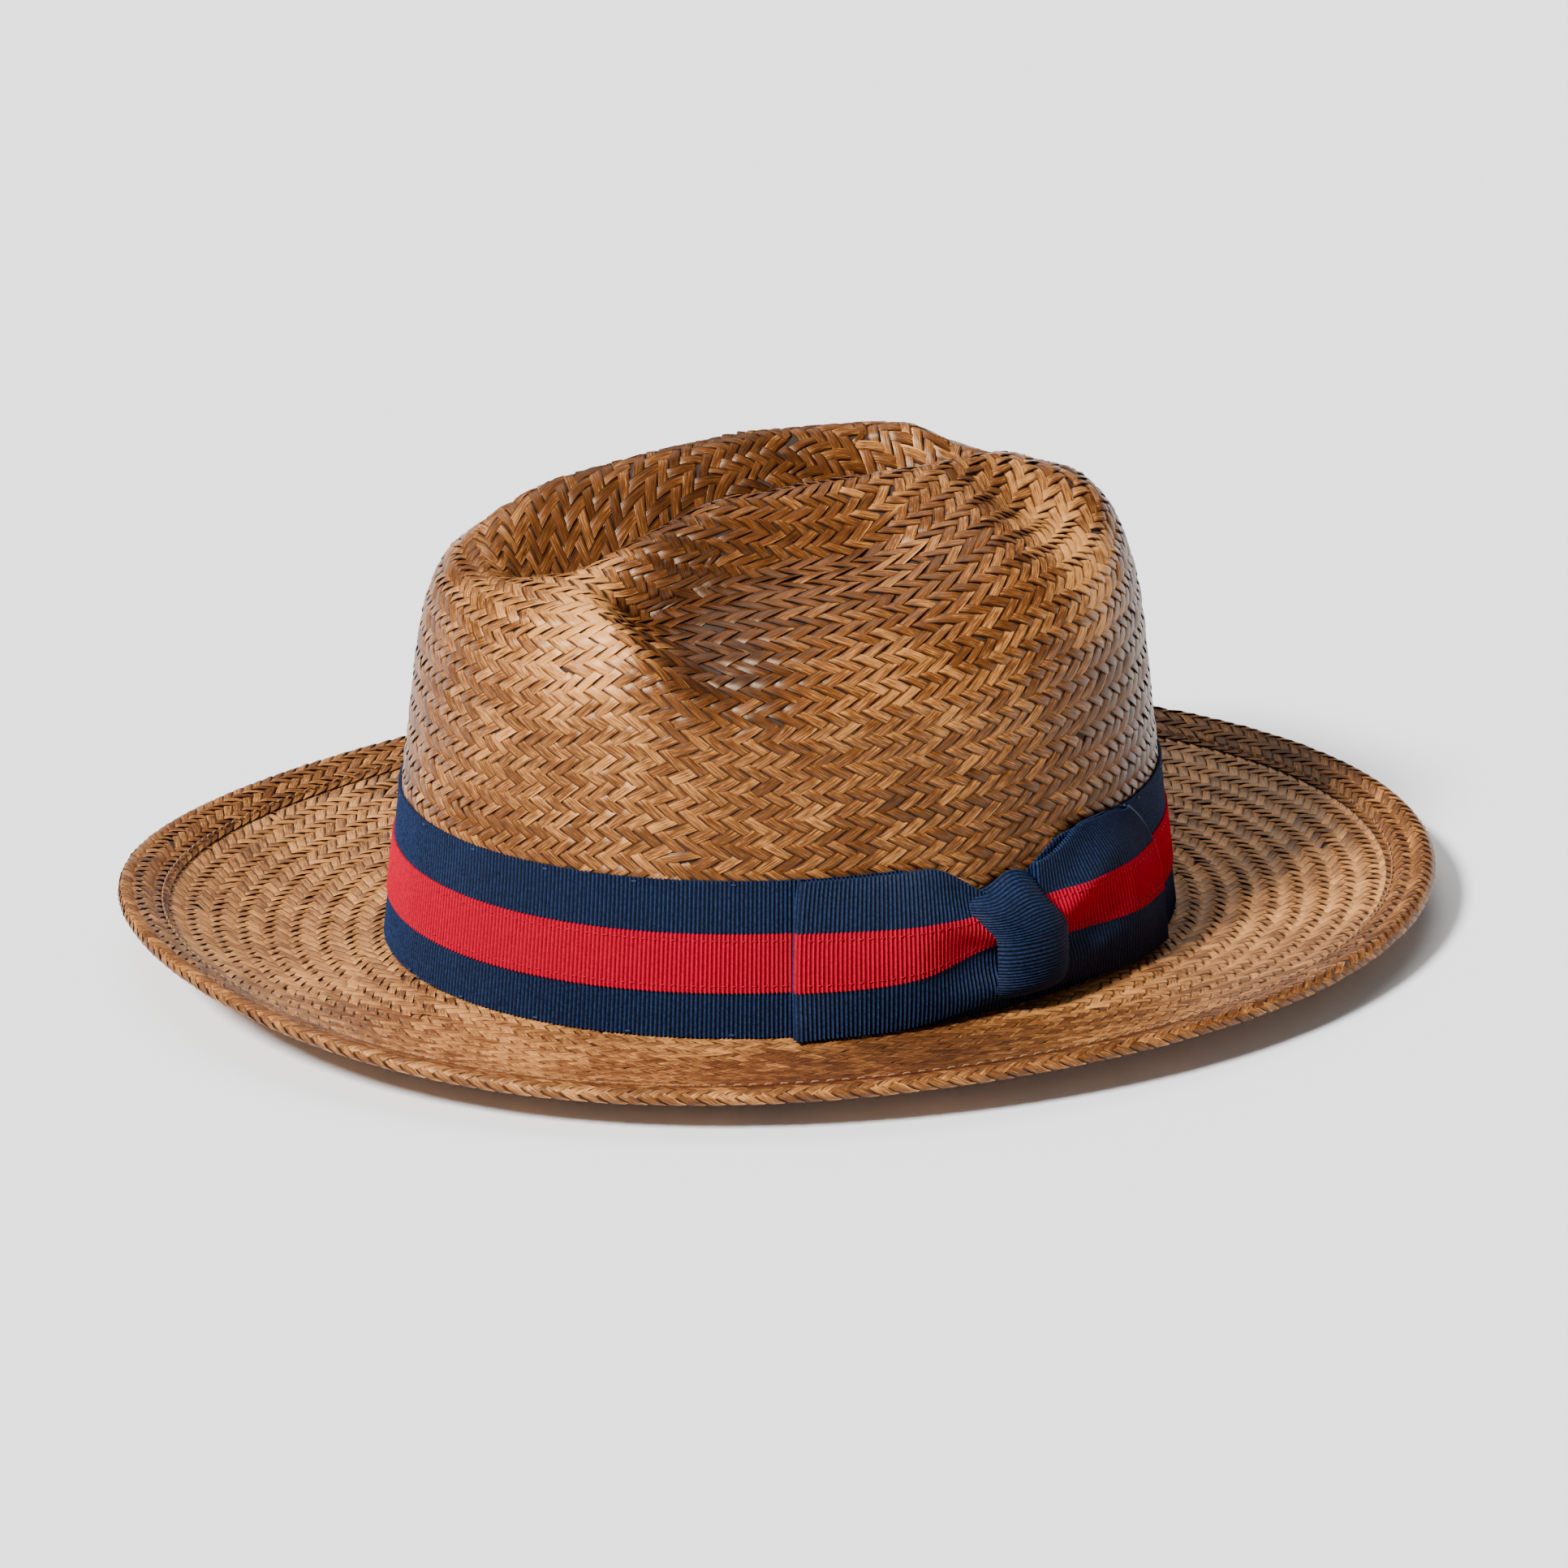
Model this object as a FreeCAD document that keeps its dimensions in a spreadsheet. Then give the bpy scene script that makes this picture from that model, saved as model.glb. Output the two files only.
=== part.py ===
import FreeCAD, Part
import math
import os

# Woven straw fedora with a striped ribbon band and a flat side bow.
# Units are millimetres. The hat rests on the flat of its brim at Z = 0 and the
# origin is under the middle of the brim. The front of the hat points to -Y and
# the wearer's left, where the bow is, is +X. Angles run from the front (0)
# round past the wearer's left (90) to the back (180).

os.makedirs("parts", exist_ok=True)
doc = FreeCAD.newDocument("fedora")
V = FreeCAD.Vector

SIZES = [
    ("crown_half_length", 105.5, "outside of the crown at its base, along Y"),
    ("crown_half_width", 86.3, "outside of the crown at its base, along X"),
    ("crown_height", 127.0, "open crown above the ribbon's lower edge"),
    ("crown_wall", 1.8, "woven straw, two strands thick"),
    ("crown_lean", 0.0011, "how fast the side closes in, per millimetre of height"),
    ("shoulder_power", 6.0, "squareness of the open crown's shoulder"),
    ("base_level", 2.7, "ribbon's lower edge above the table"),
    ("dent_depth", 26.0, "centre dent below the rims beside it"),
    ("dent_front", -91.0, "where the centre dent starts, Y"),
    ("dent_back", 65.0, "where the centre dent ends, Y"),
    ("pinch_depth", 24.0, "side dents, measured square to the shoulder"),
    ("pinch_floor", 81.0, "lowest height the side dents reach"),
    ("ridge_side", 8.0, "drop beside the narrow ridge behind the centre dent"),
    ("corner_fall", 5.0, "extra drop of the rim at the front of the wearer's left side"),
    ("rim_rise", 2.2, "rise of that rim just ahead of the middle"),
    ("rear_dip", 3.0, "dip of that rim ahead of the back corner"),
    ("brim_half_length", 176.5, "outside of the brim's edge, along Y"),
    ("brim_half_width", 145.3, "outside of the brim's edge, along X"),
    ("brim_sheet", 2.2, "woven straw of the brim"),
    ("brim_hole_gap", 1.3, "brim's hole inside the crown's outside line"),
    ("flat_share", 0.15, "share of the brim that lies flat on the table"),
    ("wire_radius", 0.8, "brim wire"),
    ("hem_width", 11.0, "turned-over edge on the upper side"),
    ("hem_sheet", 1.2, "thickness of the turned-over weave"),
    ("ribbon_width", 41.5, "navy grosgrain ribbon"),
    ("ribbon_sheet", 0.7, "thickness of the navy ribbon"),
    ("knot_dip", 9.0, "how far the knot pulls the ribbon's upper edge down"),
    ("stripe_low", 12.0, "lower edge of the red ribbon above the navy one's"),
    ("stripe_width", 15.5, "red ribbon"),
    ("stripe_sheet", 0.5, "thickness of the red ribbon"),
    ("stitch_inset", 1.8, "stitch line inside the red ribbon's edge"),
    ("thread_radius", 0.25, "sewing thread"),
    ("bow_fold_front", 76.5, "angle of the front loop's fold"),
    ("bow_knot_front", 105.6, "angle where the knot starts"),
    ("bow_knot_back", 117.6, "angle where the knot ends"),
    ("bow_fold_back", 144.0, "angle of the rear loop's fold"),
    ("sweat_width", 33.0, "sweatband"),
    ("sweat_sheet", 1.0, "thickness of the sweatband"),
    ("sweat_low", 3.2, "lower edge of the sweatband above the table"),
    ("reed_radius", 0.7, "reed in the sweatband's lower edge"),
    ("seam_gap", 0.1, "slack between sewn layers"),
]

sheet = doc.addObject("Spreadsheet::Sheet", "sizes")
for row, (alias, value, note) in enumerate(SIZES, start=1):
    sheet.set("A%d" % row, alias)
    sheet.set("B%d" % row, str(value))
    sheet.setAlias("B%d" % row, alias)
    sheet.set("C%d" % row, note)

# Sizes that follow from the ones above; the bound ovals below read these cells.
DERIVED = [
    ("ribbon_in_length", "=crown_half_length + seam_gap"),
    ("ribbon_in_width", "=crown_half_width + seam_gap"),
    ("stripe_in", "=ribbon_sheet + 2 * seam_gap"),
    ("sweat_out", "=-crown_wall - 3 * seam_gap"),
]
for row, (alias, formula) in enumerate(DERIVED, start=len(SIZES) + 2):
    sheet.set("A%d" % row, alias)
    sheet.set("B%d" % row, formula)
    sheet.setAlias("B%d" % row, alias)
doc.recompute()


def size(alias):
    return float(sheet.get(alias))


CROWN_A = size("crown_half_length")
CROWN_B = size("crown_half_width")
CROWN_H = size("crown_height")
WALL = size("crown_wall")
LEAN = size("crown_lean")
BASE = size("base_level")
BRIM_A = size("brim_half_length")
BRIM_B = size("brim_half_width")
SHEET = size("brim_sheet")
HOLE_GAP = size("brim_hole_gap")
WIRE = size("wire_radius")
HEM = size("hem_sheet")
GAP = size("seam_gap")
THREAD = size("thread_radius")

# Half-width of the centre dent at places along the crown, front to back.
DENT_Y = [-92, -80, -67, -52, -30, 0, 31, 45, 57, 63]
DENT_HALF = [18, 25, 27, 27, 25, 22, 19, 13, 7, 3]
# Drop of the top below the open crown at places along it, front to back.
FALL_Y = [-110, -95, -82, -69, -55, -42, -28, -15, -3, 10, 37, 49, 60, 71, 84, 100]
FALL = [26, 21, 16, 11.6, 8.2, 7.2, 4.4, 2.7, 0.7, 0.7, 0.5, 1.4, 3.0, 6.0, 4.5, 8.0]
LEAN_TOP = 50.0
LEAN_FADE = 35.0
PINCH_HALF = 76.0


def smooth(q):
    q = min(max(q, 0.0), 1.0)
    return q * q * (3.0 - 2.0 * q)


def along(places, values, at):
    if at <= places[0]:
        return values[0]
    for i in range(len(places) - 1):
        if at <= places[i + 1]:
            return values[i] + (values[i + 1] - values[i]) * (at - places[i]) / (places[i + 1] - places[i])
    return values[-1]


def eased(places, values, at):
    """Value at a place, averaged over its neighbourhood so that the curve has no corners."""
    total = 0.0
    for shift, weight in ((-6, 1), (-4, 2), (-2, 3), (0, 4), (2, 3), (4, 2), (6, 1)):
        total += weight / 16.0 * along(places, values, at + shift)
    return total


def closing(z):
    """How much narrower the crown is at height z than at its base."""
    if z < LEAN_TOP:
        return 1.0 - LEAN * z
    bend = LEAN * LEAN_FADE * (1.0 - math.exp(-(z - LEAN_TOP) / LEAN_FADE))
    return 1.0 - LEAN * LEAN_TOP - bend


SHOULDER = size("shoulder_power")
RIDGE_SIDE = size("ridge_side")
CORNER_FALL = size("corner_fall")
RIM_RISE = size("rim_rise")
REAR_DIP = size("rear_dip")
PINCH_DEPTH = size("pinch_depth")
PINCH_FLOOR = size("pinch_floor")
DENT_DEPTH = size("dent_depth")
DENT_FRONT = size("dent_front")
DENT_BACK = size("dent_back")


def bell(at, middle, half):
    return math.exp(-(((at - middle) / half) ** 2))


def pinch_push(x, y, open_z, half):
    """How far the two side dents push the shoulder inward and down at a place of the open crown."""
    if open_z < PINCH_FLOOR - 12:
        return 0.0, 0.0
    rise = open_z - PINCH_FLOOR + 0.9 * (PINCH_HALF - abs(x))
    full = CROWN_H - PINCH_FLOOR + 0.9 * (PINCH_HALF - half - 1)
    path = min(max(rise / full, 0.0), 1.0)
    near = smooth((x + 10) / 20)
    start = -67 + 25 * (1 - path) ** 2 - 20 * (1 - near)
    amount = PINCH_DEPTH * smooth((y - start) / (16 + 26 * (1 - near))) * (1 - smooth((y - 6) / 60))
    push = amount * abs(math.sin(math.pi * path ** 1.2)) ** 1.3
    tilt = math.radians(72 * path ** 1.8)
    return push * math.cos(tilt), push * math.sin(tilt)


def crown_point(angle, climb):
    """Outside of the crown; climb runs from 0 at the base to 1 at the middle of the top."""
    psi = climb * math.pi / 2
    reach = (math.cos(psi) ** SHOULDER + math.sin(psi) ** SHOULDER) ** (-1.0 / SHOULDER)
    wide = math.cos(psi) * reach
    open_z = CROWN_H * math.sin(psi) * reach
    x = CROWN_B * math.sin(angle) * wide * closing(open_z)
    y = -CROWN_A * math.cos(angle) * wide * closing(open_z)
    side = abs(x)
    top = (open_z / CROWN_H) ** 5
    ridge = RIDGE_SIDE * smooth((y - 40) / 22) * smooth((abs(x - 6) - 4) / 15)
    rim = CORNER_FALL * bell(y, -61, 13) - RIM_RISE * bell(y, -24, 11) + REAR_DIP * bell(y, 58, 16)
    z = open_z - top * (eased(FALL_Y, FALL, y) + ridge + rim * smooth((x - 8) / 16))

    half = eased(DENT_Y, DENT_HALF, y)
    inward, down = pinch_push(x, y, open_z, half)
    x -= math.copysign(inward, x)
    z -= down

    depth = DENT_DEPTH * smooth((y - DENT_FRONT) / 36) * smooth((DENT_BACK - y) / 42)
    share = min(side / half, 1.0)
    z -= depth * 0.5 * (1 + math.cos(math.pi * share)) * top
    return V(x, y, z + BASE - 0.2)


def oval(angle, half_length, half_width, z):
    return V(half_width * math.sin(angle), -half_length * math.cos(angle), z)


def edge_height(angle):
    """Middle of the brim's rolled edge above the table: highest at the front."""
    c = [math.cos(k * angle) for k in range(5)]
    return BASE + 9.6 * c[0] + 2.0 * c[1] + 2.2 * c[2] + 1.6 * c[3] + 0.9 * c[4]


EDGE_ROLL = WIRE + GAP + HEM
FLAT = size("flat_share")


def brim_point(angle, out, lift):
    """Point of the brim; out is 0 at the hole and 1 over the wire, lift is above mid-sheet."""
    inner = oval(angle, CROWN_A - HOLE_GAP, CROWN_B - HOLE_GAP, 0)
    outer = oval(angle, BRIM_A - EDGE_ROLL, BRIM_B - EDGE_ROLL, 0)
    spot = inner + (outer - inner) * out
    bend = max((out - FLAT) / (1 - FLAT), 0.0) ** 1.9
    middle = SHEET / 2 + (edge_height(angle) - SHEET / 2) * bend
    return V(spot.x, spot.y, middle + lift)


def brim_reach(angle):
    inner = oval(angle, CROWN_A - HOLE_GAP, CROWN_B - HOLE_GAP, 0)
    outer = oval(angle, BRIM_A - EDGE_ROLL, BRIM_B - EDGE_ROLL, 0)
    return (outer - inner).Length


def outward(angle):
    inner = oval(angle, CROWN_A, CROWN_B, 0)
    outer = oval(angle, BRIM_A, BRIM_B, 0)
    return (outer - inner).normalize()


def band_point(angle, z, off):
    """Point at height z above the ribbon's lower edge, off millimetres outside the crown."""
    k = 1.0 - LEAN * z
    normal = V(math.sin(angle) * CROWN_A, -math.cos(angle) * CROWN_B, 0).normalize()
    return oval(angle, CROWN_A * k, CROWN_B * k, z + BASE) + normal * off


def turns(count):
    return [2 * math.pi * i / count for i in range(count)]


def clamped(count):
    return [4] + [1] * (count - 4) + [4], [float(i) for i in range(count - 2)]


def tube_face(rings):
    """Smooth face through closed rings of control points, open at its two ends."""
    around = len(rings[0])
    poles = [[ring[i] for ring in rings] for i in range(around)]
    mults, knots = clamped(len(rings))
    surface = Part.BSplineSurface()
    surface.buildFromPolesMultsKnots(
        poles, [1] * (around + 1), mults, [float(i) for i in range(around + 1)], knots, True, False, 3, 3)
    return surface.toShape()


def loop_solid(section, around):
    """Solid ring: section(angle) gives the closed cross-section's control points."""
    poles = [section(angle) for angle in turns(around)]
    count = len(poles[0])
    surface = Part.BSplineSurface()
    surface.buildFromPolesMultsKnots(
        poles, [1] * (around + 1), [1] * (count + 1), [float(i) for i in range(around + 1)],
        [float(i) for i in range(count + 1)], True, True, 3, 3)
    return as_solid([surface.toShape()])


def as_solid(faces):
    shell = Part.makeShell(faces)
    if len(faces) > 1:
        shell.sewShape()
    solid = Part.makeSolid(shell)
    if solid.Volume < 0:
        solid.reverse()
    return solid


def ends(face):
    closed = [edge for edge in face.Edges if edge.isClosed()]
    closed.sort(key=lambda edge: edge.Length)
    return Part.Wire(closed[0]), Part.Wire(closed[-1])


def feature(label, shape):
    item = doc.addObject("Part::Feature", label)
    item.Label = label
    item.Shape = shape
    item.Placement = FreeCAD.Placement()
    pieces.append(item)
    return item


pieces = []

# Crown: outer and inner face, a ring under the wall and a small flat at the middle of the top.
AROUND = 96
CLIMBS = [0.0, 0.05, 0.1, 0.16, 0.22, 0.28, 0.33, 0.37, 0.41] + [0.44 + 0.0175 * i for i in range(32)]


def crown_rings(inset):
    rings = []
    for climb in CLIMBS:
        ring = []
        for angle in turns(AROUND):
            spot = crown_point(angle, climb)
            if inset:
                across = crown_point(angle + 0.01, climb) - crown_point(angle - 0.01, climb)
                above = crown_point(angle, min(climb + 0.004, 0.999))
                up = above - crown_point(angle, max(climb - 0.004, 0))
                spot = spot - across.cross(up).normalize() * inset
            ring.append(spot)
        rings.append(ring)
    summit = sum(spot.z for spot in rings[-1]) / AROUND
    for spot in rings[-1]:
        spot.z = summit
    for spot in rings[0]:
        spot.z = BASE - 0.2
    return rings


outer_face = tube_face(crown_rings(0.0))
inner_face = tube_face(crown_rings(WALL))
outer_small, outer_foot = ends(outer_face)
inner_small, inner_foot = ends(inner_face)
foot_ring = Part.makeFace([outer_foot, inner_foot], "Part::FaceMakerBullseye")
crown_faces = [outer_face, inner_face, foot_ring, Part.Face(outer_small), Part.Face(inner_small)]
feature("crown", as_solid(crown_faces))


def brim_section(angle):
    """From the edge of the resting flat, out along the underside, back over the top and down the hole."""
    half = SHEET / 2
    stop = 1.0 - (EDGE_ROLL + 0.4) / brim_reach(angle)
    outs = [0.05, 0.1, 0.15, 0.25, 0.4, 0.55, 0.7, 0.82, 0.92, 1.0, 1.0]
    lower = [brim_point(angle, q * stop, -half) for q in outs[2:]]
    upper = [brim_point(angle, q * stop, half) for q in reversed([0.0, 0.0] + outs)]
    return lower + upper + [brim_point(angle, 0.0, -half)]


brim_sections = [brim_section(angle) for angle in turns(96)]
brim_face = tube_face([list(ring) for ring in zip(*brim_sections)])
hole_rim, flat_rim = ends(brim_face)
rest_ring = Part.makeFace([flat_rim, hole_rim], "Part::FaceMakerBullseye")
feature("brim", as_solid([brim_face, rest_ring]))


def wire_middle(angle):
    spot = oval(angle, BRIM_A - EDGE_ROLL, BRIM_B - EDGE_ROLL, 0)
    return V(spot.x, spot.y, edge_height(angle))


def round_section(middle, out_way, radius):
    ring = []
    for turn in turns(8):
        ring.append(middle + out_way * (radius * math.cos(turn)) + V(0, 0, radius * math.sin(turn)))
    return ring


# A control ring of eight points draws a circle a little smaller than itself.
ROUND = 1.0 / 0.902
feature("brim_wire", loop_solid(lambda a: round_section(wire_middle(a), outward(a), WIRE * ROUND), 96))


def hem_section(angle):
    """Weave turned up over the wire and laid flat on the brim's upper side."""
    reach = brim_reach(angle)
    low = SHEET / 2 + GAP
    high = low + HEM
    start = 1.0 - size("hem_width") / reach
    middle = wire_middle(angle)
    way = outward(angle)
    outer = []
    inner = []
    for degree in (55, 25, -5, -35, -65, -90):
        turn = math.radians(degree)
        ray = way * math.cos(turn) + V(0, 0, math.sin(turn))
        outer.append(middle + ray * (EDGE_ROLL * 1.03))
        inner.append(middle + ray * ((WIRE + GAP) * 1.03))
    rest = 1.0 - (EDGE_ROLL + 1.2) / reach
    tops = [brim_point(angle, start + (rest - start) * q, high) for q in (0, 0, 0.35, 0.7, 1.0)]
    unders = [brim_point(angle, start + (rest - start) * q, low) for q in (1.0, 0.7, 0.35, 0, 0)]
    return tops + outer + [outer[-1]] + [inner[-1]] + list(reversed(inner)) + unders


feature("brim_hem", loop_solid(hem_section, 96))

# Sleeve that joins the two ends of the brim wire, at the back.
splice = wire_middle(math.pi)
sleeve_out = Part.makeCylinder(WIRE + 0.35, 14, V(-7, splice.y, splice.z), V(1, 0, 0))


def thread_bar(start, end):
    way = end - start
    return Part.makeCylinder(THREAD, way.Length, start, way)


def ring_stitches(count, share, spot):
    """Row of running stitches: spot(angle) is the thread's path round the hat."""
    bars = []
    step = 2 * math.pi / count
    for i in range(count):
        bars.append(thread_bar(spot(i * step), spot(i * step + step * share)))
    return Part.makeCompound(bars)


def hem_line(angle):
    start = 1.0 - (size("hem_width") - 1.6) / brim_reach(angle)
    return brim_point(angle, start, SHEET / 2 + HEM + GAP + THREAD + 0.15)


feature("brim_hem_stitching", ring_stitches(180, 0.55, hem_line))


def bound_oval(label, long_rule, wide_rule, z_rule):
    ring = doc.addObject("Part::Ellipse", label)
    ring.setExpression("MajorRadius", long_rule)
    ring.setExpression("MinorRadius", wide_rule)
    ring.setExpression("Placement.Base.z", z_rule)
    ring.Placement.Rotation = FreeCAD.Rotation(V(0, 0, 1), 90)
    return ring


def bound_band(label, inside, thick, low, width):
    """Flat band round the crown: inside and thick are measured out from the crown's outside."""
    walls = []
    for name, off in (("in", inside), ("out", inside + " + " + thick)):
        rings = []
        for end, level in (("low", low), ("top", low + " + " + width)):
            lean = "(1 - sizes.crown_lean * (%s))" % level
            rings.append(bound_oval(
                "%s_%s_%s" % (label, name, end),
                "sizes.crown_half_length * %s + %s" % (lean, off),
                "sizes.crown_half_width * %s + %s" % (lean, off),
                "sizes.base_level + " + level))
        wall = doc.addObject("Part::Loft", "%s_%s" % (label, name))
        wall.Sections = rings
        wall.Solid = True
        wall.Ruled = True
        walls.append(wall)
    return bound_cut(label, walls[1], walls[0])


def bound_cut(label, base, tool):
    item = doc.addObject("Part::Cut", label)
    item.Label = label
    item.Base = base
    item.Tool = tool
    return item


plain_band = bound_band("plain_ribbon", "sizes.seam_gap", "sizes.ribbon_sheet", "0", "sizes.ribbon_width")
pieces.append(bound_band(
    "band_stripe", "sizes.stripe_in", "sizes.stripe_sheet", "sizes.stripe_low", "sizes.stripe_width"))

STRIPE_LOW = size("stripe_low")
STRIPE_TOP = STRIPE_LOW + size("stripe_width")
STRIPE_OUT = size("stripe_in") + size("stripe_sheet")
INSET = size("stitch_inset")
THREAD_OUT = STRIPE_OUT + THREAD + 0.03
feature("stripe_stitching_lower", ring_stitches(
    150, 0.6, lambda a: band_point(a, STRIPE_LOW + INSET, THREAD_OUT)))
feature("stripe_stitching_upper", ring_stitches(
    150, 0.6, lambda a: band_point(a, STRIPE_TOP - INSET, THREAD_OUT)))


def strip(stations, thick):
    """Ribbon of one thickness through stations (angle, offset, low, high, plan direction)."""
    wires = []
    for angle, off, low, high, lean in stations:
        turn = math.radians(angle)
        normal = V(math.sin(turn) * CROWN_A, -math.cos(turn) * CROWN_B, 0).normalize()
        tangent = V(-normal.y, normal.x, 0)
        face = normal * math.cos(math.radians(lean)) + tangent * math.sin(math.radians(lean))
        foot = band_point(turn, low, off)
        head = band_point(turn, high, off)
        half = face * (thick / 2)
        corners = [foot - half, foot + half, head + half, head - half]
        wires.append(Part.makePolygon(corners + [corners[0]]))
    return Part.makeLoft(wires, True, True)


RIBBON = size("ribbon_width")
DIP = size("knot_dip")


def pulled(angle):
    """How far the ribbon's upper edge is pulled down under the knot; slightly negative away from it."""
    return (DIP + 0.3) * smooth((angle - 92) / 11) * smooth((122 - angle) / 12) - 0.3


notch = doc.addObject("Part::Feature", "ribbon_notch")
notch_rows = [(91 + i, 0.5, RIBBON - pulled(91 + i), RIBBON + 3, 0.0) for i in range(33)]
notch.Shape = strip(notch_rows, 3.0)
pieces.append(bound_cut("band_ribbon", plain_band, notch))

THIN = size("ribbon_sheet") * 0.8
UNDER = STRIPE_OUT + 0.65
FOLD = 1.3


def bow_loop(fold, knot, low_at, high_at, side):
    """Loop of ribbon: under ply out to the fold, round it and back over to the knot."""
    degrees = 1.0 / 1.75
    stations = []
    steps = 10
    for i in range(steps + 1):
        angle = knot + (fold - side * FOLD * degrees - knot) * i / steps
        stations.append((angle, UNDER, 1.0, RIBBON, 0.0))
    for i in range(1, 6):
        turn = math.pi * i / 6
        angle = fold - side * FOLD * degrees * (1 - math.sin(turn))
        stations.append((angle, UNDER + FOLD * (1 - math.cos(turn)), 1.0, RIBBON, side * math.degrees(turn)))
    for i in range(steps + 1):
        q = 1.0 - i / steps
        angle = knot + (fold - side * FOLD * degrees - knot) * q
        swell = 1.2 * math.sin(math.pi * q)
        stations.append((angle, UNDER + 2 * FOLD + swell, low_at(1 - q), high_at(1 - q), side * 180.0))
    return stations


def front_low(q):
    return 1.0 + 4.0 * smooth((q - 0.35) / 0.65)


def front_high(q):
    return RIBBON - 11.0 * smooth((q - 0.58) / 0.42)


def rear_low(q):
    return 1.0 + 3.0 * smooth((q - 0.3) / 0.7)


def rear_high(q):
    return RIBBON + 1.5 * smooth(3 * q) - 6.0 * smooth((q - 0.45) / 0.55)


KNOT_0 = size("bow_knot_front")
KNOT_1 = size("bow_knot_back")
front = bow_loop(size("bow_fold_front"), KNOT_0 + 3, front_low, front_high, -1)
rear = bow_loop(size("bow_fold_back"), KNOT_1 - 3, rear_low, rear_high, 1)
feature("bow_front_loop", strip(front, THIN))
feature("bow_rear_loop", strip(rear, THIN))


def loop_stripe(stations, low_end, high_end):
    """Red ribbon on the outer ply of a loop, narrowing as the ply gathers at the knot."""
    outer_ply = stations[-11:]
    out = []
    for i, (angle, off, low, high, lean) in enumerate(outer_ply):
        q = i / 10.0
        bottom = STRIPE_LOW + 1.0 + (low_end - STRIPE_LOW - 1.0) * q ** 2.4
        top = STRIPE_TOP + 1.0 + (high_end - STRIPE_TOP - 1.0) * q * q
        out.append((angle, off + THIN / 2 + GAP + 0.2, bottom, top, 0.0))
    return out


feature("bow_front_stripe", strip(loop_stripe(front, 20.5, 27.5), 0.4))
feature("bow_rear_stripe", strip(loop_stripe(rear, 16.5, 28.5), 0.4))


# Knot's rows from its lower to its upper edge: height above the ribbon's lower edge, offset from the crown.
KNOT_ROWS = [
    (0.5, 1.4),
    (1.5, 3.4),
    (4.0, 5.6),
    (9.0, 6.6),
    (16.0, 7.0),
    (23.0, 7.0),
    (27.0, 6.6),
    (31.0, 5.8),
    (33.5, 4.2),
    (34.5, 2.8),
]
KNOT_THICK = 0.8


def knot_row(z, off):
    """Closed outline of the knot's ribbon at one height; the knot leans forward at the top."""
    skew = 3.0 * smooth((z - 22) / 16)
    outside = []
    inside = []
    for i in range(7):
        angle = math.radians(KNOT_0 - skew + (KNOT_1 - KNOT_0) * i / 6)
        swell = 0.5 * math.sin(math.pi * i / 6)
        outside.append(band_point(angle, z, off + swell))
        inside.append(band_point(angle, z, off + swell - KNOT_THICK))
    ring = outside + inside[::-1]
    return Part.makePolygon(ring + [ring[0]])


feature("bow_knot", Part.makeLoft([knot_row(z, off) for z, off in KNOT_ROWS], True, True))

tacks = []
for degree in (KNOT_0 + 4, KNOT_0 + 8):
    for z in (31.0, 0.2):
        turn = math.radians(degree)
        tacks.append(thread_bar(band_point(turn, z, 1.3), band_point(turn + 0.02, z, 1.3)))
for degree in (size("bow_fold_front") + 2, size("bow_fold_back") - 2):
    for z in (7.0, 18.0):
        turn = math.radians(degree)
        level = UNDER + FOLD
        tacks.append(thread_bar(band_point(turn, z, level), band_point(turn + 0.02, z, level)))
feature("bow_tack_stitches", Part.makeCompound(tacks))

holds = []
for i in range(24):
    turn = 2 * math.pi * (i + 0.5) / 24
    for z in (0.9, RIBBON - 0.9 - max(pulled(math.degrees(turn)), 0.0)):
        holds.append(thread_bar(band_point(turn, z, 1.2), band_point(turn + 0.012, z, 1.2)))
feature("band_tack_stitches", Part.makeCompound(holds))

SWEAT_LOW = size("sweat_low")
pieces.append(bound_band(
    "sweatband", "sizes.sweat_out - sizes.sweat_sheet", "sizes.sweat_sheet",
    "sizes.sweat_low - sizes.base_level", "sizes.sweat_width"))

SWEAT_MID = size("sweat_out") - size("sweat_sheet") / 2
SWEAT_IN = size("sweat_out") - size("sweat_sheet")
REED = size("reed_radius")


def reed_section(angle):
    normal = V(math.sin(angle) * CROWN_A, -math.cos(angle) * CROWN_B, 0).normalize()
    middle = band_point(angle, SWEAT_LOW - BASE - REED - 0.1, SWEAT_MID)
    return round_section(middle, normal, REED * ROUND)


feature("sweatband_reed", loop_solid(reed_section, 72))
SWEAT_THREAD = SWEAT_IN - THREAD - 0.03
feature("sweatband_stitching", ring_stitches(130, 0.55, lambda a: band_point(a, 3.6, SWEAT_THREAD)))


def arc_plate(first, last, low, high, off, thick):
    stations = []
    for i in range(7):
        stations.append((first + (last - first) * i / 6, off, low, high, 0.0))
    return strip(stations, thick)


SEAM_HALF = 2.6
tape = arc_plate(180 - SEAM_HALF, 180 + SEAM_HALF, 2.0, 32.0, SWEAT_IN - 0.35, 0.5)
feature("sweatband_seam_tape", tape)
SEAM_THREAD = SWEAT_IN - 0.9
crosses = []
for i in range(9):
    z = 4.0 + 3.2 * i
    start = band_point(math.pi - 0.03, z, SEAM_THREAD)
    end = band_point(math.pi + 0.03, z + 1.2, SEAM_THREAD)
    crosses.append(thread_bar(start, end))
feature("sweatband_seam_stitches", Part.makeCompound(crosses))

hollow = Part.makeCylinder(WIRE + 0.05, 16, V(-8, splice.y, splice.z), V(1, 0, 0))
feature("brim_wire_sleeve", sleeve_out.cut(hollow))

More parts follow.
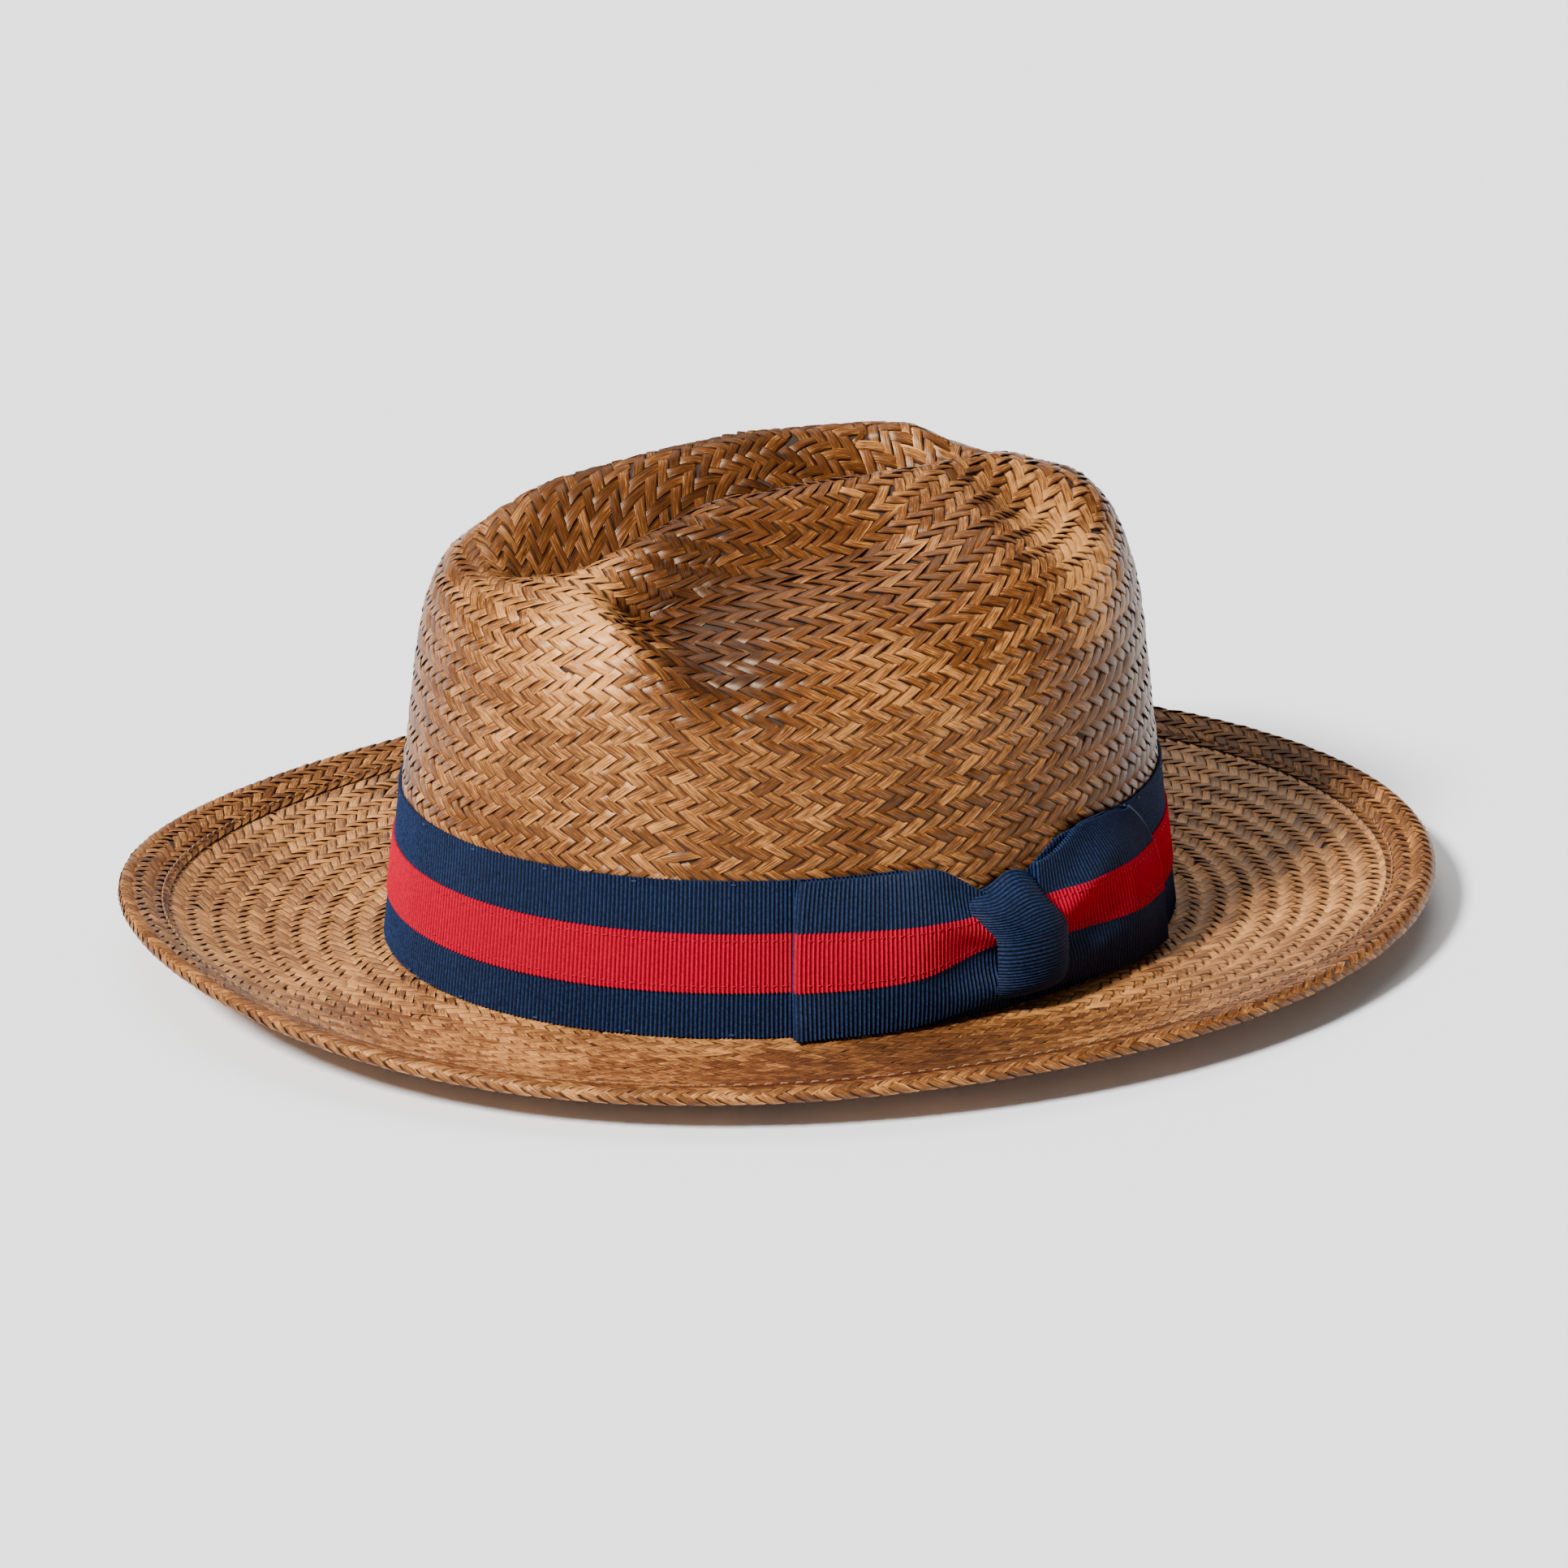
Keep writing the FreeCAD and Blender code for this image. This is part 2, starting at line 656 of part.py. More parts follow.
doc.recompute()
for item in doc.Objects:
    if "Invalid" in item.State or "Error" in item.State:
        raise RuntimeError("%s did not build: %s" % (item.Label, item.State))
for item in pieces:
    if item.Shape.isNull() or not item.Shape.isValid():
        raise RuntimeError("%s has no valid shape" % item.Label)
    if item.Shape.Volume <= 0:
        raise RuntimeError("%s is inside out" % item.Label)
    item.Shape.exportStep("parts/%s.step" % item.Label)
    box = item.Shape.BoundBox
    print("%-26s %9.1f mm3  x %7.1f %7.1f  y %7.1f %7.1f  z %6.1f %6.1f" % (
        item.Label, item.Shape.Volume, box.XMin, box.XMax, box.YMin, box.YMax, box.ZMin, box.ZMax))
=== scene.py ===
import math

import bpy
import numpy as np
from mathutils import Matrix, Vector


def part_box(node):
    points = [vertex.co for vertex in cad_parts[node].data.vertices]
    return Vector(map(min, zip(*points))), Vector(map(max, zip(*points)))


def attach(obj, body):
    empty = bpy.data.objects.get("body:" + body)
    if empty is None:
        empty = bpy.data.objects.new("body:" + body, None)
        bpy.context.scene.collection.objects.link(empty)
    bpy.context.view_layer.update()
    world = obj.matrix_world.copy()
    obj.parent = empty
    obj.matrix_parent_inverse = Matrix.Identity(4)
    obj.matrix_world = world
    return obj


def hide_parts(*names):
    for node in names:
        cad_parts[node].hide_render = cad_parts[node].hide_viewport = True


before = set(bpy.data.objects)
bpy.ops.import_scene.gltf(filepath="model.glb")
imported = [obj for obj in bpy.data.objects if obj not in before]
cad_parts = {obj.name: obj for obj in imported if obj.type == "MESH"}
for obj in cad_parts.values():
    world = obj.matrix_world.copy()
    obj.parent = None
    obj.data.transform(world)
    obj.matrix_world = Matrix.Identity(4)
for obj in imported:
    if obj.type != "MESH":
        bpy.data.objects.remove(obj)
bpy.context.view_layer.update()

# All shape work is in millimetres, in the frame of the CAD model; meshes are written in metres.
MM = 0.001
TAU = 2 * math.pi
pi = math.pi


def half_sizes(node):
    low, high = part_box(node)
    return high.x / MM, high.y / MM, low.z / MM, high.z / MM


CROWN_B, CROWN_A, CROWN_FOOT, CROWN_TOP = half_sizes("crown")
EDGE_B, EDGE_A, _, _ = half_sizes("brim_hem")
_, _, BAND_LOW, BAND_TOP = half_sizes("band_ribbon")
_, _, STRIPE_LOW, STRIPE_TOP = half_sizes("band_stripe")
_, _, SWEAT_LOW, SWEAT_TOP = half_sizes("sweatband")
BASE = BAND_LOW
RIBBON = BAND_TOP - BAND_LOW
CROWN_H = 127.0
LEAN = 0.0011
WALL = 1.8
SHEET = 2.2
WIRE = 0.8
HEM = 1.2
HEM_WIDTH = 11.0
EDGE_ROLL = WIRE + 0.1 + HEM
TUCKED_IN = 1.3
DENT_DEPTH = 26
PINCH_DEPTH = 24
PINCH_FOOT = 69
PINCH_FLOOR = 81
REAR_RIDGE = 8.0
CORNER_FALL = 5.0
RIM_RISE = 2.2
REAR_DIP = 3.0
DENT_Y = [-92, -80, -67, -52, -30, 0, 31, 45, 57, 63]
DENT_HALF = [18, 25, 27, 27, 25, 22, 19, 13, 7, 3]
FALL_Y = [-110, -95, -82, -69, -55, -42, -28, -15, -3, 10, 37, 49, 60, 71, 84, 100]
FALL = [26, 21, 16, 11.6, 8.2, 7.2, 4.4, 2.7, 0.7, 0.7, 0.5, 1.4, 3.0, 6.0, 4.5, 8.0]


def smooth(q):
    q = np.clip(q, 0.0, 1.0)
    return q * q * (3.0 - 2.0 * q)


def bell(at, middle, half):
    return np.exp(-(((at - middle) / half) ** 2))


def eased_table(at, places, values):
    """Value of a short table at a place, averaged over its neighbourhood so that it has no corners."""
    total = 0.0
    for shift, weight in ((-6, 1), (-4, 2), (-2, 3), (0, 4), (2, 3), (4, 2), (6, 1)):
        total = total + weight / 16.0 * np.interp(at + shift, places, values)
    return total


def closing(z):
    bend = LEAN * 35.0 * (1.0 - np.exp(-(z - 50.0) / 35.0))
    return np.where(z < 50.0, 1.0 - LEAN * z, 1.0 - LEAN * 50.0 - bend)


def crown_shape(angle, climb):
    """Outside of the crown, as the CAD model has it: climb is 0 at the foot, 1 at the top's middle."""
    psi = climb * pi / 2
    reach = (np.cos(psi) ** 6 + np.sin(psi) ** 6) ** (-1 / 6)
    wide = np.cos(psi) * reach
    open_z = CROWN_H * np.sin(psi) * reach
    x = CROWN_B * np.sin(angle) * wide * closing(open_z)
    y = -CROWN_A * np.cos(angle) * wide * closing(open_z)
    top = (open_z / CROWN_H) ** 5
    ridge = REAR_RIDGE * smooth((y - 40) / 22) * smooth((np.abs(x - 6) - 4) / 15)
    rim = CORNER_FALL * bell(y, -61, 13) - RIM_RISE * bell(y, -24, 11) + REAR_DIP * bell(y, 58, 16)
    z = open_z - top * (eased_table(y, FALL_Y, FALL) + ridge + rim * smooth((x - 8) / 16))
    half = eased_table(y, DENT_Y, DENT_HALF)
    side = np.abs(x)
    path = (open_z - PINCH_FLOOR + 0.9 * (76 - side)) / (CROWN_H - PINCH_FLOOR + 0.9 * (75 - half))
    path = np.where(open_z > PINCH_FOOT, np.clip(path, 0, 1), 0)
    near = smooth((x + 10) / 20)
    start = -67 + 25 * (1 - path) ** 2 - 20 * (1 - near)
    rise = 16 + 26 * (1 - near)
    push = PINCH_DEPTH * smooth((y - start) / rise) * (1 - smooth((y - 6) / 60))
    push = push * np.abs(np.sin(pi * path ** 1.2)) ** 1.3
    tilt = np.radians(72 * path ** 1.8)
    x = x - np.sign(x) * np.cos(tilt) * push
    z = z - np.sin(tilt) * push
    depth = DENT_DEPTH * smooth((y + 91) / 36) * smooth((65 - y) / 42)
    z = z - depth * 0.5 * (1 + np.cos(pi * np.minimum(side / half, 1))) * top
    return np.stack([x, y, z + CROWN_FOOT], -1)


def distances(points):
    """Distance run along a line of points, 0 at the first."""
    return np.concatenate([[0], np.cumsum(np.linalg.norm(np.diff(points, axis=0), axis=-1))])


def oval(angle, half_length, half_width, z):
    return np.stack([half_width * np.sin(angle), -half_length * np.cos(angle), z + 0 * angle], -1)


def edge_height(angle):
    c = [np.cos(k * angle) for k in range(5)]
    return BASE + 9.6 + 2.0 * c[1] + 2.2 * c[2] + 1.6 * c[3] + 0.9 * c[4]


def brim_edges(angle):
    """Plan ovals of the brim's inner edge, under the crown's wall, and of its wire."""
    inner = oval(angle, CROWN_A - TUCKED_IN, CROWN_B - TUCKED_IN, 0.0)
    return inner, oval(angle, EDGE_A - EDGE_ROLL, EDGE_B - EDGE_ROLL, 0.0)


def brim_shape(angle, out, lift):
    """Brim: out is 0 at its inner edge, 1 over the wire; lift is above the middle of the sheet."""
    inner, outer = brim_edges(angle)
    spot = inner + (outer - inner) * out[..., None]
    bend = np.maximum((out - 0.15) / 0.85, 0) ** 1.9
    spot[..., 2] = SHEET / 2 + (edge_height(angle) - SHEET / 2) * bend + lift
    return spot


def band_shape(angle, z, off):
    """Point z above the ribbon's lower edge and off outside the crown's wall."""
    k = 1.0 - LEAN * z
    normal = np.stack([np.sin(angle) * CROWN_A, -np.cos(angle) * CROWN_B, 0 * angle], -1)
    normal /= np.linalg.norm(normal, axis=-1, keepdims=True)
    spot = np.stack([CROWN_B * k * np.sin(angle), -CROWN_A * k * np.cos(angle), z + BASE], -1)
    return spot + normal * np.asarray(off)[..., None]


class Surface:
    """A ring-shaped surface sampled on angle (0 to a full turn) and share (0 to 1 of its length)."""

    def __init__(self, points, flip=False):
        self.flip = flip
        step = np.linalg.norm(np.diff(points, axis=1), axis=-1)
        length = np.concatenate([np.zeros((len(points), 1)), np.cumsum(step, 1)], 1)
        self.length = float(length[:, -1].mean())
        share = np.linspace(0, 1, points.shape[1])
        even = np.empty_like(points)
        for i in range(len(points)):
            for k in range(3):
                even[i, :, k] = np.interp(share, length[i] / length[i, -1], points[i, :, k])
        around = np.gradient(even, axis=0)
        around[0] = around[-1] = (even[1] - even[-2]) / 2
        normal = np.cross(around, np.gradient(even, axis=1))
        normal /= np.linalg.norm(normal, axis=-1, keepdims=True) + 1e-12
        self.points = even
        self.normals = -normal if flip else normal
        self.girth = np.linalg.norm(np.diff(even, axis=0), axis=-1).sum(0)

    def at(self, angle, share):
        rows, cols = self.points.shape[:2]
        i = (angle / TAU % 1.0) * (rows - 1)
        j = np.clip(share, 0, 1) * (cols - 1)
        i0 = np.minimum(i.astype(int), rows - 2)
        j0 = np.minimum(j.astype(int), cols - 2)
        fi = (i - i0)[..., None]
        fj = (j - j0)[..., None]
        out = []
        for grid in (self.points, self.normals):
            low = grid[i0, j0] * (1 - fj) + grid[i0, j0 + 1] * fj
            high = grid[i0 + 1, j0] * (1 - fj) + grid[i0 + 1, j0 + 1] * fj
            out.append(low * (1 - fi) + high * fi)
        normal = out[1] / (np.linalg.norm(out[1], axis=-1, keepdims=True) + 1e-12)
        return out[0], normal

    def girth_at(self, share):
        return np.interp(share, np.linspace(0, 1, len(self.girth)), self.girth)


def grid_of(shape, around, along):
    a, b = np.meshgrid(np.linspace(0, TAU, around), along, indexing="ij")
    return shape(a, b)


def make_object(name, verts, faces, attributes=None, smooth_angle=None):
    mesh = bpy.data.meshes.new(name)
    if not isinstance(faces, list):
        faces = faces.tolist()
    mesh.from_pydata((np.asarray(verts) * MM).tolist(), [], faces)
    for key, values in (attributes or {}).items():
        values = np.asarray(values, np.float32)
        kind = "FLOAT" if values.ndim == 1 else "FLOAT_VECTOR"
        layer = mesh.attributes.new(key, kind, "POINT")
        layer.data.foreach_set("value" if values.ndim == 1 else "vector", values.ravel())
    mesh.polygons.foreach_set("use_smooth", [True] * len(mesh.polygons))
    if smooth_angle:
        mesh.set_sharp_from_angle(angle=math.radians(smooth_angle))
    mesh.update()
    item = bpy.data.objects.new(name, mesh)
    bpy.context.scene.collection.objects.link(item)
    return item


def finish_piece(item, material, nodes=()):
    item.data.materials.append(material)
    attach(item, "root")
    if nodes:
        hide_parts(*nodes)
    return item


# ---------------------------------------------------------------- weave

# A float is a short flat strip. ALONG and ACROSS place its points in strands and rows, the lifts are in mm,
# and the tones are painted shade at its ends, along one side and underneath, with a painted highlight near
# one end. The plain floats are simpler, for hidden faces.
ALONG = np.array([-0.72, -0.58, -0.22, 0.22, 0.58, 0.72])
ALONG_LIFT = np.array([-0.50, 0.08, 0.42, 0.42, 0.08, -0.50])
END_TONE = np.array([-4.0, 0.3, 0.1, -0.2, 1.1, -3.0])
SIDE_TONE = np.array([-2.8, 0.2, 0.3, -0.8, -3.0, -3.0])
ACROSS = np.array([-0.455, -0.26, 0.26, 0.455, 0.455, -0.455])
ACROSS_LIFT = np.array([-0.07, 0.04, 0.04, -0.07, -0.32, -0.32])
PLAIN_ALONG = np.array([-0.66, -0.40, 0.40, 0.66])
PLAIN_ALONG_LIFT = np.array([-0.3, 0.36, 0.36, -0.3])
PLAIN_ACROSS = np.array([-0.46, 0.46, 0.46, -0.46])
PLAIN_ACROSS_LIFT = np.array([0.0, 0.0, -0.3, -0.3])
PLAIN_END_TONE = np.array([-2.5, 0.2, 0.2, -2.5])
PLAIN_SIDE_TONE = np.array([-0.3, -0.3, -2.0, -2.0])


GOLDEN_ANGLE = 2.39996


def extra_strands(surface, rows, pitch, seed):
    """Mean strand count, and the spots (angle, row) where strands start so that it follows the girth."""
    v = np.linspace(0, rows, 400)
    count = surface.girth_at(v / rows) / pitch
    ends = (int(round(count[0])), int(round(count[-1])))
    base = (ends[0] + ends[1]) / 2
    sign = 1 if ends[1] > ends[0] else -1
    spots = []
    start = min(ends)
    draw = np.random.default_rng(seed)
    order = np.argsort(count)
    for n in range(abs(ends[1] - ends[0])):
        row = float(np.interp(start + n + 0.5, count[order], v[order]))
        spots.append(((n * GOLDEN_ANGLE + draw.uniform(-0.35, 0.35)) % TAU, row + draw.uniform(-0.8, 0.8)))
    return base, sign, spots


def weave(surface, first, last, row_pitch, pitch, seed, plain=False, lift=1.0, jitter=1.0, keep=None,
          painted_light=None):
    """Floats of a two-over two-under diagonal weave: every row is a ring of slanted floats.

    keep(angle, spot) picks the floats that are made; the function given for painted light and shade adds
    that to their tone at each spot.
    """
    rows = int(round(surface.length / row_pitch / 2)) * 2
    base, sign, spots = extra_strands(surface, rows, pitch, seed)
    draw = np.random.default_rng(seed + 1)
    along, along_lift = (PLAIN_ALONG, PLAIN_ALONG_LIFT) if plain else (ALONG, ALONG_LIFT)
    across, across_lift = (PLAIN_ACROSS, PLAIN_ACROSS_LIFT) if plain else (ACROSS, ACROSS_LIFT)
    end_tone, side_tone = (PLAIN_END_TONE, PLAIN_SIDE_TONE) if plain else (END_TONE, SIDE_TONE)
    theta = np.linspace(0, TAU, 1441)
    spot_angle = np.array([q[0] for q in spots]).reshape(-1, 1)
    spot_row = np.array([q[1] for q in spots]).reshape(-1, 1)
    radius = surface.girth_at(np.clip(spot_row / rows, 0, 1)) / TAU
    step = row_pitch / radius

    def phase(v):
        if not len(spots):
            return base * theta / TAU
        z = (theta[None, :] - spot_angle) + 1j * step * (v - spot_row)
        turn = np.unwrap(np.angle(np.sin(z / 2)), axis=1)
        return base * theta / TAU - sign * turn.sum(0) / TAU

    strand_tone = draw.normal(0, 1, 4096)
    verts, tones, fibres = [], [], []
    row = math.ceil(first * rows)
    while row + 0.25 < last * rows:
        v0 = row + 0.25
        rising = row % 2 == 1
        here = phase(v0)
        ahead = phase(v0 + 0.3)
        behind = phase(v0 - 0.3)
        gap = ahead - behind
        u_v = (gap - np.round(gap)) / 0.6
        u_t = np.gradient(here, theta)
        if here[0] > here[-1]:
            row += 1
            continue
        begin = math.ceil(here[0] - (0.75 if rising else 0.25))
        index = np.arange(begin, begin + int(round(here[-1] - here[0])))
        target = index + (0.75 if rising else 0.25)
        centre = np.interp(target, here, theta)
        k_t = np.interp(centre, theta, u_t)
        k_v = np.interp(centre, theta, u_v)
        mean = (here[-1] - here[0]) / TAU
        k_t = np.clip(k_t, 0.55 * mean, 2.2 * mean)
        k_v = np.clip(k_v, -0.8, 0.8)
        if keep is not None:
            shown = keep(centre, surface.at(centre, np.full(len(centre), v0 / rows))[0])
            index, centre, k_t, k_v = index[shown], centre[shown], k_t[shown], k_v[shown]
        n = len(index)
        if n == 0:
            row += 1
            continue
        strand = (index - row if rising else index + row) % 4096
        tone = 0.42 * strand_tone[strand] + 0.30 * draw.normal(0, 1, n)
        # A painted glint along one upper edge of some floats.
        edge = np.maximum(draw.normal(0.5, 1.3, n), 0)
        tilt = draw.normal(0, 0.11 * jitter, n) + (0.17 if rising else -0.17)
        slope = draw.normal(0, 0.10 * jitter, n)
        rise = draw.normal(0, 0.05 * jitter, n)
        width = 1 + draw.normal(0, 0.035, n)
        stretch = 1 + draw.normal(0, 0.04, n)
        skew = draw.normal(0, 0.03, n)
        s = along[None, :, None] * stretch[:, None, None]
        w = across[None, None, :] * width[:, None, None] + skew[:, None, None] * s
        way = 1.0 if rising else -1.0
        du = s * way + 0.5 * w
        dv = s + 0.5 * w * (-way)
        d_angle = (du - k_v[:, None, None] * dv) / k_t[:, None, None]
        share = (v0 + dv) / rows
        place, normal = surface.at(centre[:, None, None] + d_angle, share)
        thinner = np.where(np.abs(along) > 0.6, 0.6, 1.0)[None, :, None]
        height = along_lift[None, :, None] + across_lift[None, None, :] * thinner
        height = height + tilt[:, None, None] * across[None, None, :] * 2
        height = height + slope[:, None, None] * along[None, :, None] + rise[:, None, None]
        height = height * lift
        spot = place + normal * height[..., None]
        verts.append(spot.reshape(-1, 3))
        # Painted shade and highlights per float: dark ends, dark side and underside, a light sliver near
        # one end and the glint on one upper edge.
        shade = tone[:, None, None] + end_tone[None, :, None] + side_tone[None, None, :]
        shade[:, 1:-1, 3] += edge[:, None]
        # Add the caller's painted light and shade to the floats' tone.
        if painted_light is not None:
            shade = shade + painted_light(spot)
        tones.append(shade.ravel())
        offset = draw.uniform(0, 400, n)
        fibre = np.empty((n, along.size, across.size, 3))
        fibre[..., 0] = s * 6.1 + offset[:, None, None]
        fibre[..., 1] = across[None, None, :] * 2.9 + offset[:, None, None] * 0.37
        fibre[..., 2] = height
        fibres.append(fibre.reshape(-1, 3))
        row += 1
    verts = np.concatenate(verts)
    count = len(verts) // (along.size * across.size)
    faces = float_faces(count, along.size, across.size)
    if surface.flip:
        faces = faces[:, ::-1]
    return verts, faces, {"tone": np.concatenate(tones), "fibre": np.concatenate(fibres)}


def float_faces(count, long, ring):
    """Faces of count closed strips, each long stations of ring vertices, with both ends capped."""
    i = np.arange(long - 1)[:, None]
    k = np.arange(ring)[None, :]
    nxt = (k + 1) % ring
    corners = [i * ring + k, i * ring + nxt, (i + 1) * ring + nxt, (i + 1) * ring + k]
    side = np.stack(corners, -1).reshape(-1, 4)
    caps = []
    for half in range(ring // 2 - 1):
        quad = [half, half + 1, ring - 2 - half, ring - 1 - half]
        caps.append(quad[::-1])
        caps.append([(long - 1) * ring + q for q in quad])
    one = np.concatenate([side, np.array(caps)])
    return (one[None] + (np.arange(count) * long * ring)[:, None, None]).reshape(-1, 4)


def add_shell(points, inset_points):
    """Closed shell between two sampled sheets, the body of the weave behind the floats; its near-black
    straw_core colour is painted shade in the gaps.
    """
    cols = points.shape[1]
    rows = len(points) - 1
    verts = np.concatenate([points[:-1].reshape(-1, 3), inset_points[:-1].reshape(-1, 3)])
    i, j = np.meshgrid(np.arange(rows), np.arange(cols - 1), indexing="ij")
    n = (i + 1) % rows
    quad = np.stack([i * cols + j, n * cols + j, n * cols + j + 1, i * cols + j + 1], -1).reshape(-1, 4)
    other = quad[:, ::-1] + rows * cols
    near = np.arange(rows) * cols
    far = (np.arange(rows) + 1) % rows * cols
    across = rows * cols
    foot = np.stack([near, near + across, far + across, far], -1)
    tip = cols - 1
    head = np.stack([near + tip, far + tip, far + tip + across, near + tip + across], -1)
    return verts, np.concatenate([quad, other, foot, head])


# ---------------------------------------------------------------- materials


def material(name):
    mat = bpy.data.materials.new(name)
    mat.use_nodes = True
    nodes = mat.node_tree.nodes
    nodes.clear()
    out = nodes.new("ShaderNodeOutputMaterial")
    shader = nodes.new("ShaderNodeBsdfPrincipled")
    mat.node_tree.links.new(shader.outputs["BSDF"], out.inputs["Surface"])
    return mat, nodes, mat.node_tree.links, shader


def node(nodes, kind, **values):
    item = nodes.new(kind)
    for key, value in values.items():
        setattr(item, key, value)
    return item


def ramp(nodes, stops):
    item = nodes.new("ShaderNodeValToRGB")
    item.color_ramp.elements[0].position = stops[0][0]
    item.color_ramp.elements[0].color = (*stops[0][1], 1)
    item.color_ramp.elements[1].position = stops[-1][0]
    item.color_ramp.elements[1].color = (*stops[-1][1], 1)
    for place, colour in stops[1:-1]:
        item.color_ramp.elements.new(place).color = (*colour, 1)
    return item


def math_node(nodes, links, operation, a, b):
    item = node(nodes, "ShaderNodeMath", operation=operation)
    for socket, value in zip(item.inputs, (a, b)):
        if isinstance(value, (int, float)):
            socket.default_value = value
        else:
            links.new(value, socket)
    return item.outputs[0]


def noise(nodes, links, vector, scale, detail=2.0):
    item = nodes.new("ShaderNodeTexNoise")
    item.inputs["Scale"].default_value = scale
    item.inputs["Detail"].default_value = detail
    links.new(vector, item.inputs["Vector"])
    return item.outputs["Fac"]


def scaled(nodes, links, source, factor, plus):
    return math_node(nodes, links, "ADD", math_node(nodes, links, "MULTIPLY", source, factor), plus)


def add_bump(nodes, links, shader, height, strength, distance):
    bump = nodes.new("ShaderNodeBump")
    bump.inputs["Strength"].default_value = strength
    bump.inputs["Distance"].default_value = distance
    links.new(height, bump.inputs["Height"])
    links.new(bump.outputs["Normal"], shader.inputs["Normal"])


def straw(name, rough=0.34, shift=-0.51, gloss=0.26):
    """Stained straw: streaks run along each float's own fibre coordinates; the tone attribute brings random
    strand tone and the floats' painted shade and highlights.
    """
    mat, nodes, links, shader = material(name)
    fibre = node(nodes, "ShaderNodeAttribute", attribute_name="fibre")
    tone = node(nodes, "ShaderNodeAttribute", attribute_name="tone")
    stretch = node(nodes, "ShaderNodeVectorMath", operation="MULTIPLY")
    stretch.inputs[1].default_value = (0.22, 4.2, 0.0)
    links.new(fibre.outputs["Vector"], stretch.inputs[0])
    place = node(nodes, "ShaderNodeTexCoord")
    streak = noise(nodes, links, stretch.outputs[0], 1.0, 3.0)
    finer = noise(nodes, links, stretch.outputs[0], 3.1)
    cloud = noise(nodes, links, place.outputs["Object"], 28.0)
    level = scaled(nodes, links, tone.outputs["Fac"], 0.13, shift)
    for pattern, weight in ((streak, 1.15), (finer, 0.45), (cloud, 0.35)):
        level = scaled(nodes, links, pattern, weight, level)
    colour = ramp(nodes, [(0.12, STRAW_DARK), (0.5, STRAW_MID), (0.88, STRAW_LIGHT)])
    links.new(level, colour.inputs["Fac"])
    links.new(colour.outputs["Color"], shader.inputs["Base Color"])
    links.new(scaled(nodes, links, streak, 0.22, rough - 0.11), shader.inputs["Roughness"])
    add_bump(nodes, links, shader, streak, 0.5, 0.00012)
    shader.inputs["Specular IOR Level"].default_value = gloss
    shader.inputs["Specular Tint"].default_value = (1.0, 0.78, 0.55, 1)
    return mat


def cloth(name, colour, light, rough=0.6, sheen=0.25, weft=1400.0, valley=0.35, gloss=0.2):
    """Ribbed ribbon or plain cloth: fine thread noise over the modelled ribs, with painted shade in the rib
    grooves, as dark as valley.
    """
    mat, nodes, links, shader = material(name)
    place = node(nodes, "ShaderNodeTexCoord")
    thread = noise(nodes, links, place.outputs["Object"], weft)
    cloud = noise(nodes, links, place.outputs["Object"], 60.0)
    level = scaled(nodes, links, thread, 0.8, math_node(nodes, links, "MULTIPLY", cloud, 0.2))
    tint = ramp(nodes, [(0.3, colour), (0.7, light)])
    links.new(level, tint.inputs["Fac"])
    rib = node(nodes, "ShaderNodeAttribute", attribute_name="rib")
    shade = node(nodes, "ShaderNodeMix", data_type="RGBA", blend_type="MULTIPLY")
    shade.inputs["Factor"].default_value = 1.0
    grey = ramp(nodes, [(0.0, (1.0, 1.0, 1.0)), (1.0, (valley, valley, valley))])
    links.new(rib.outputs["Fac"], grey.inputs["Fac"])
    links.new(tint.outputs["Color"], shade.inputs["A"])
    links.new(grey.outputs["Color"], shade.inputs["B"])
    links.new(shade.outputs["Result"], shader.inputs["Base Color"])
    links.new(scaled(nodes, links, thread, 0.2, rough - 0.1), shader.inputs["Roughness"])
    add_bump(nodes, links, shader, thread, 0.35, 0.0001)
    shader.inputs["Sheen Weight"].default_value = sheen
    shader.inputs["Sheen Roughness"].default_value = 0.4
    shader.inputs["Specular IOR Level"].default_value = gloss
    return mat


def plain(name, colour, light, rough, metallic=0.0, scale=300.0):
    """Smooth material with a faint grain, for hidden or small pieces."""
    mat, nodes, links, shader = material(name)
    place = node(nodes, "ShaderNodeTexCoord")
    grain = noise(nodes, links, place.outputs["Object"], scale)
    tint = ramp(nodes, [(0.3, colour), (0.7, light)])
    links.new(grain, tint.inputs["Fac"])
    links.new(tint.outputs["Color"], shader.inputs["Base Color"])
    links.new(scaled(nodes, links, grain, 0.15, rough - 0.07), shader.inputs["Roughness"])
    shader.inputs["Metallic"].default_value = metallic
    return mat


STRAW_DARK = (0.026, 0.007, 0.0015)
STRAW_MID = (0.114, 0.036, 0.0075)
STRAW_LIGHT = (0.56, 0.240, 0.066)
straw_crown = straw("straw_crown")
# Painted sheen: the brim's straw is the crown's straw made lighter by a higher shift.
straw_brim = straw("straw_brim", 0.44, shift=-0.38, gloss=0.8)
straw_hem = straw("straw_hem", 0.42)
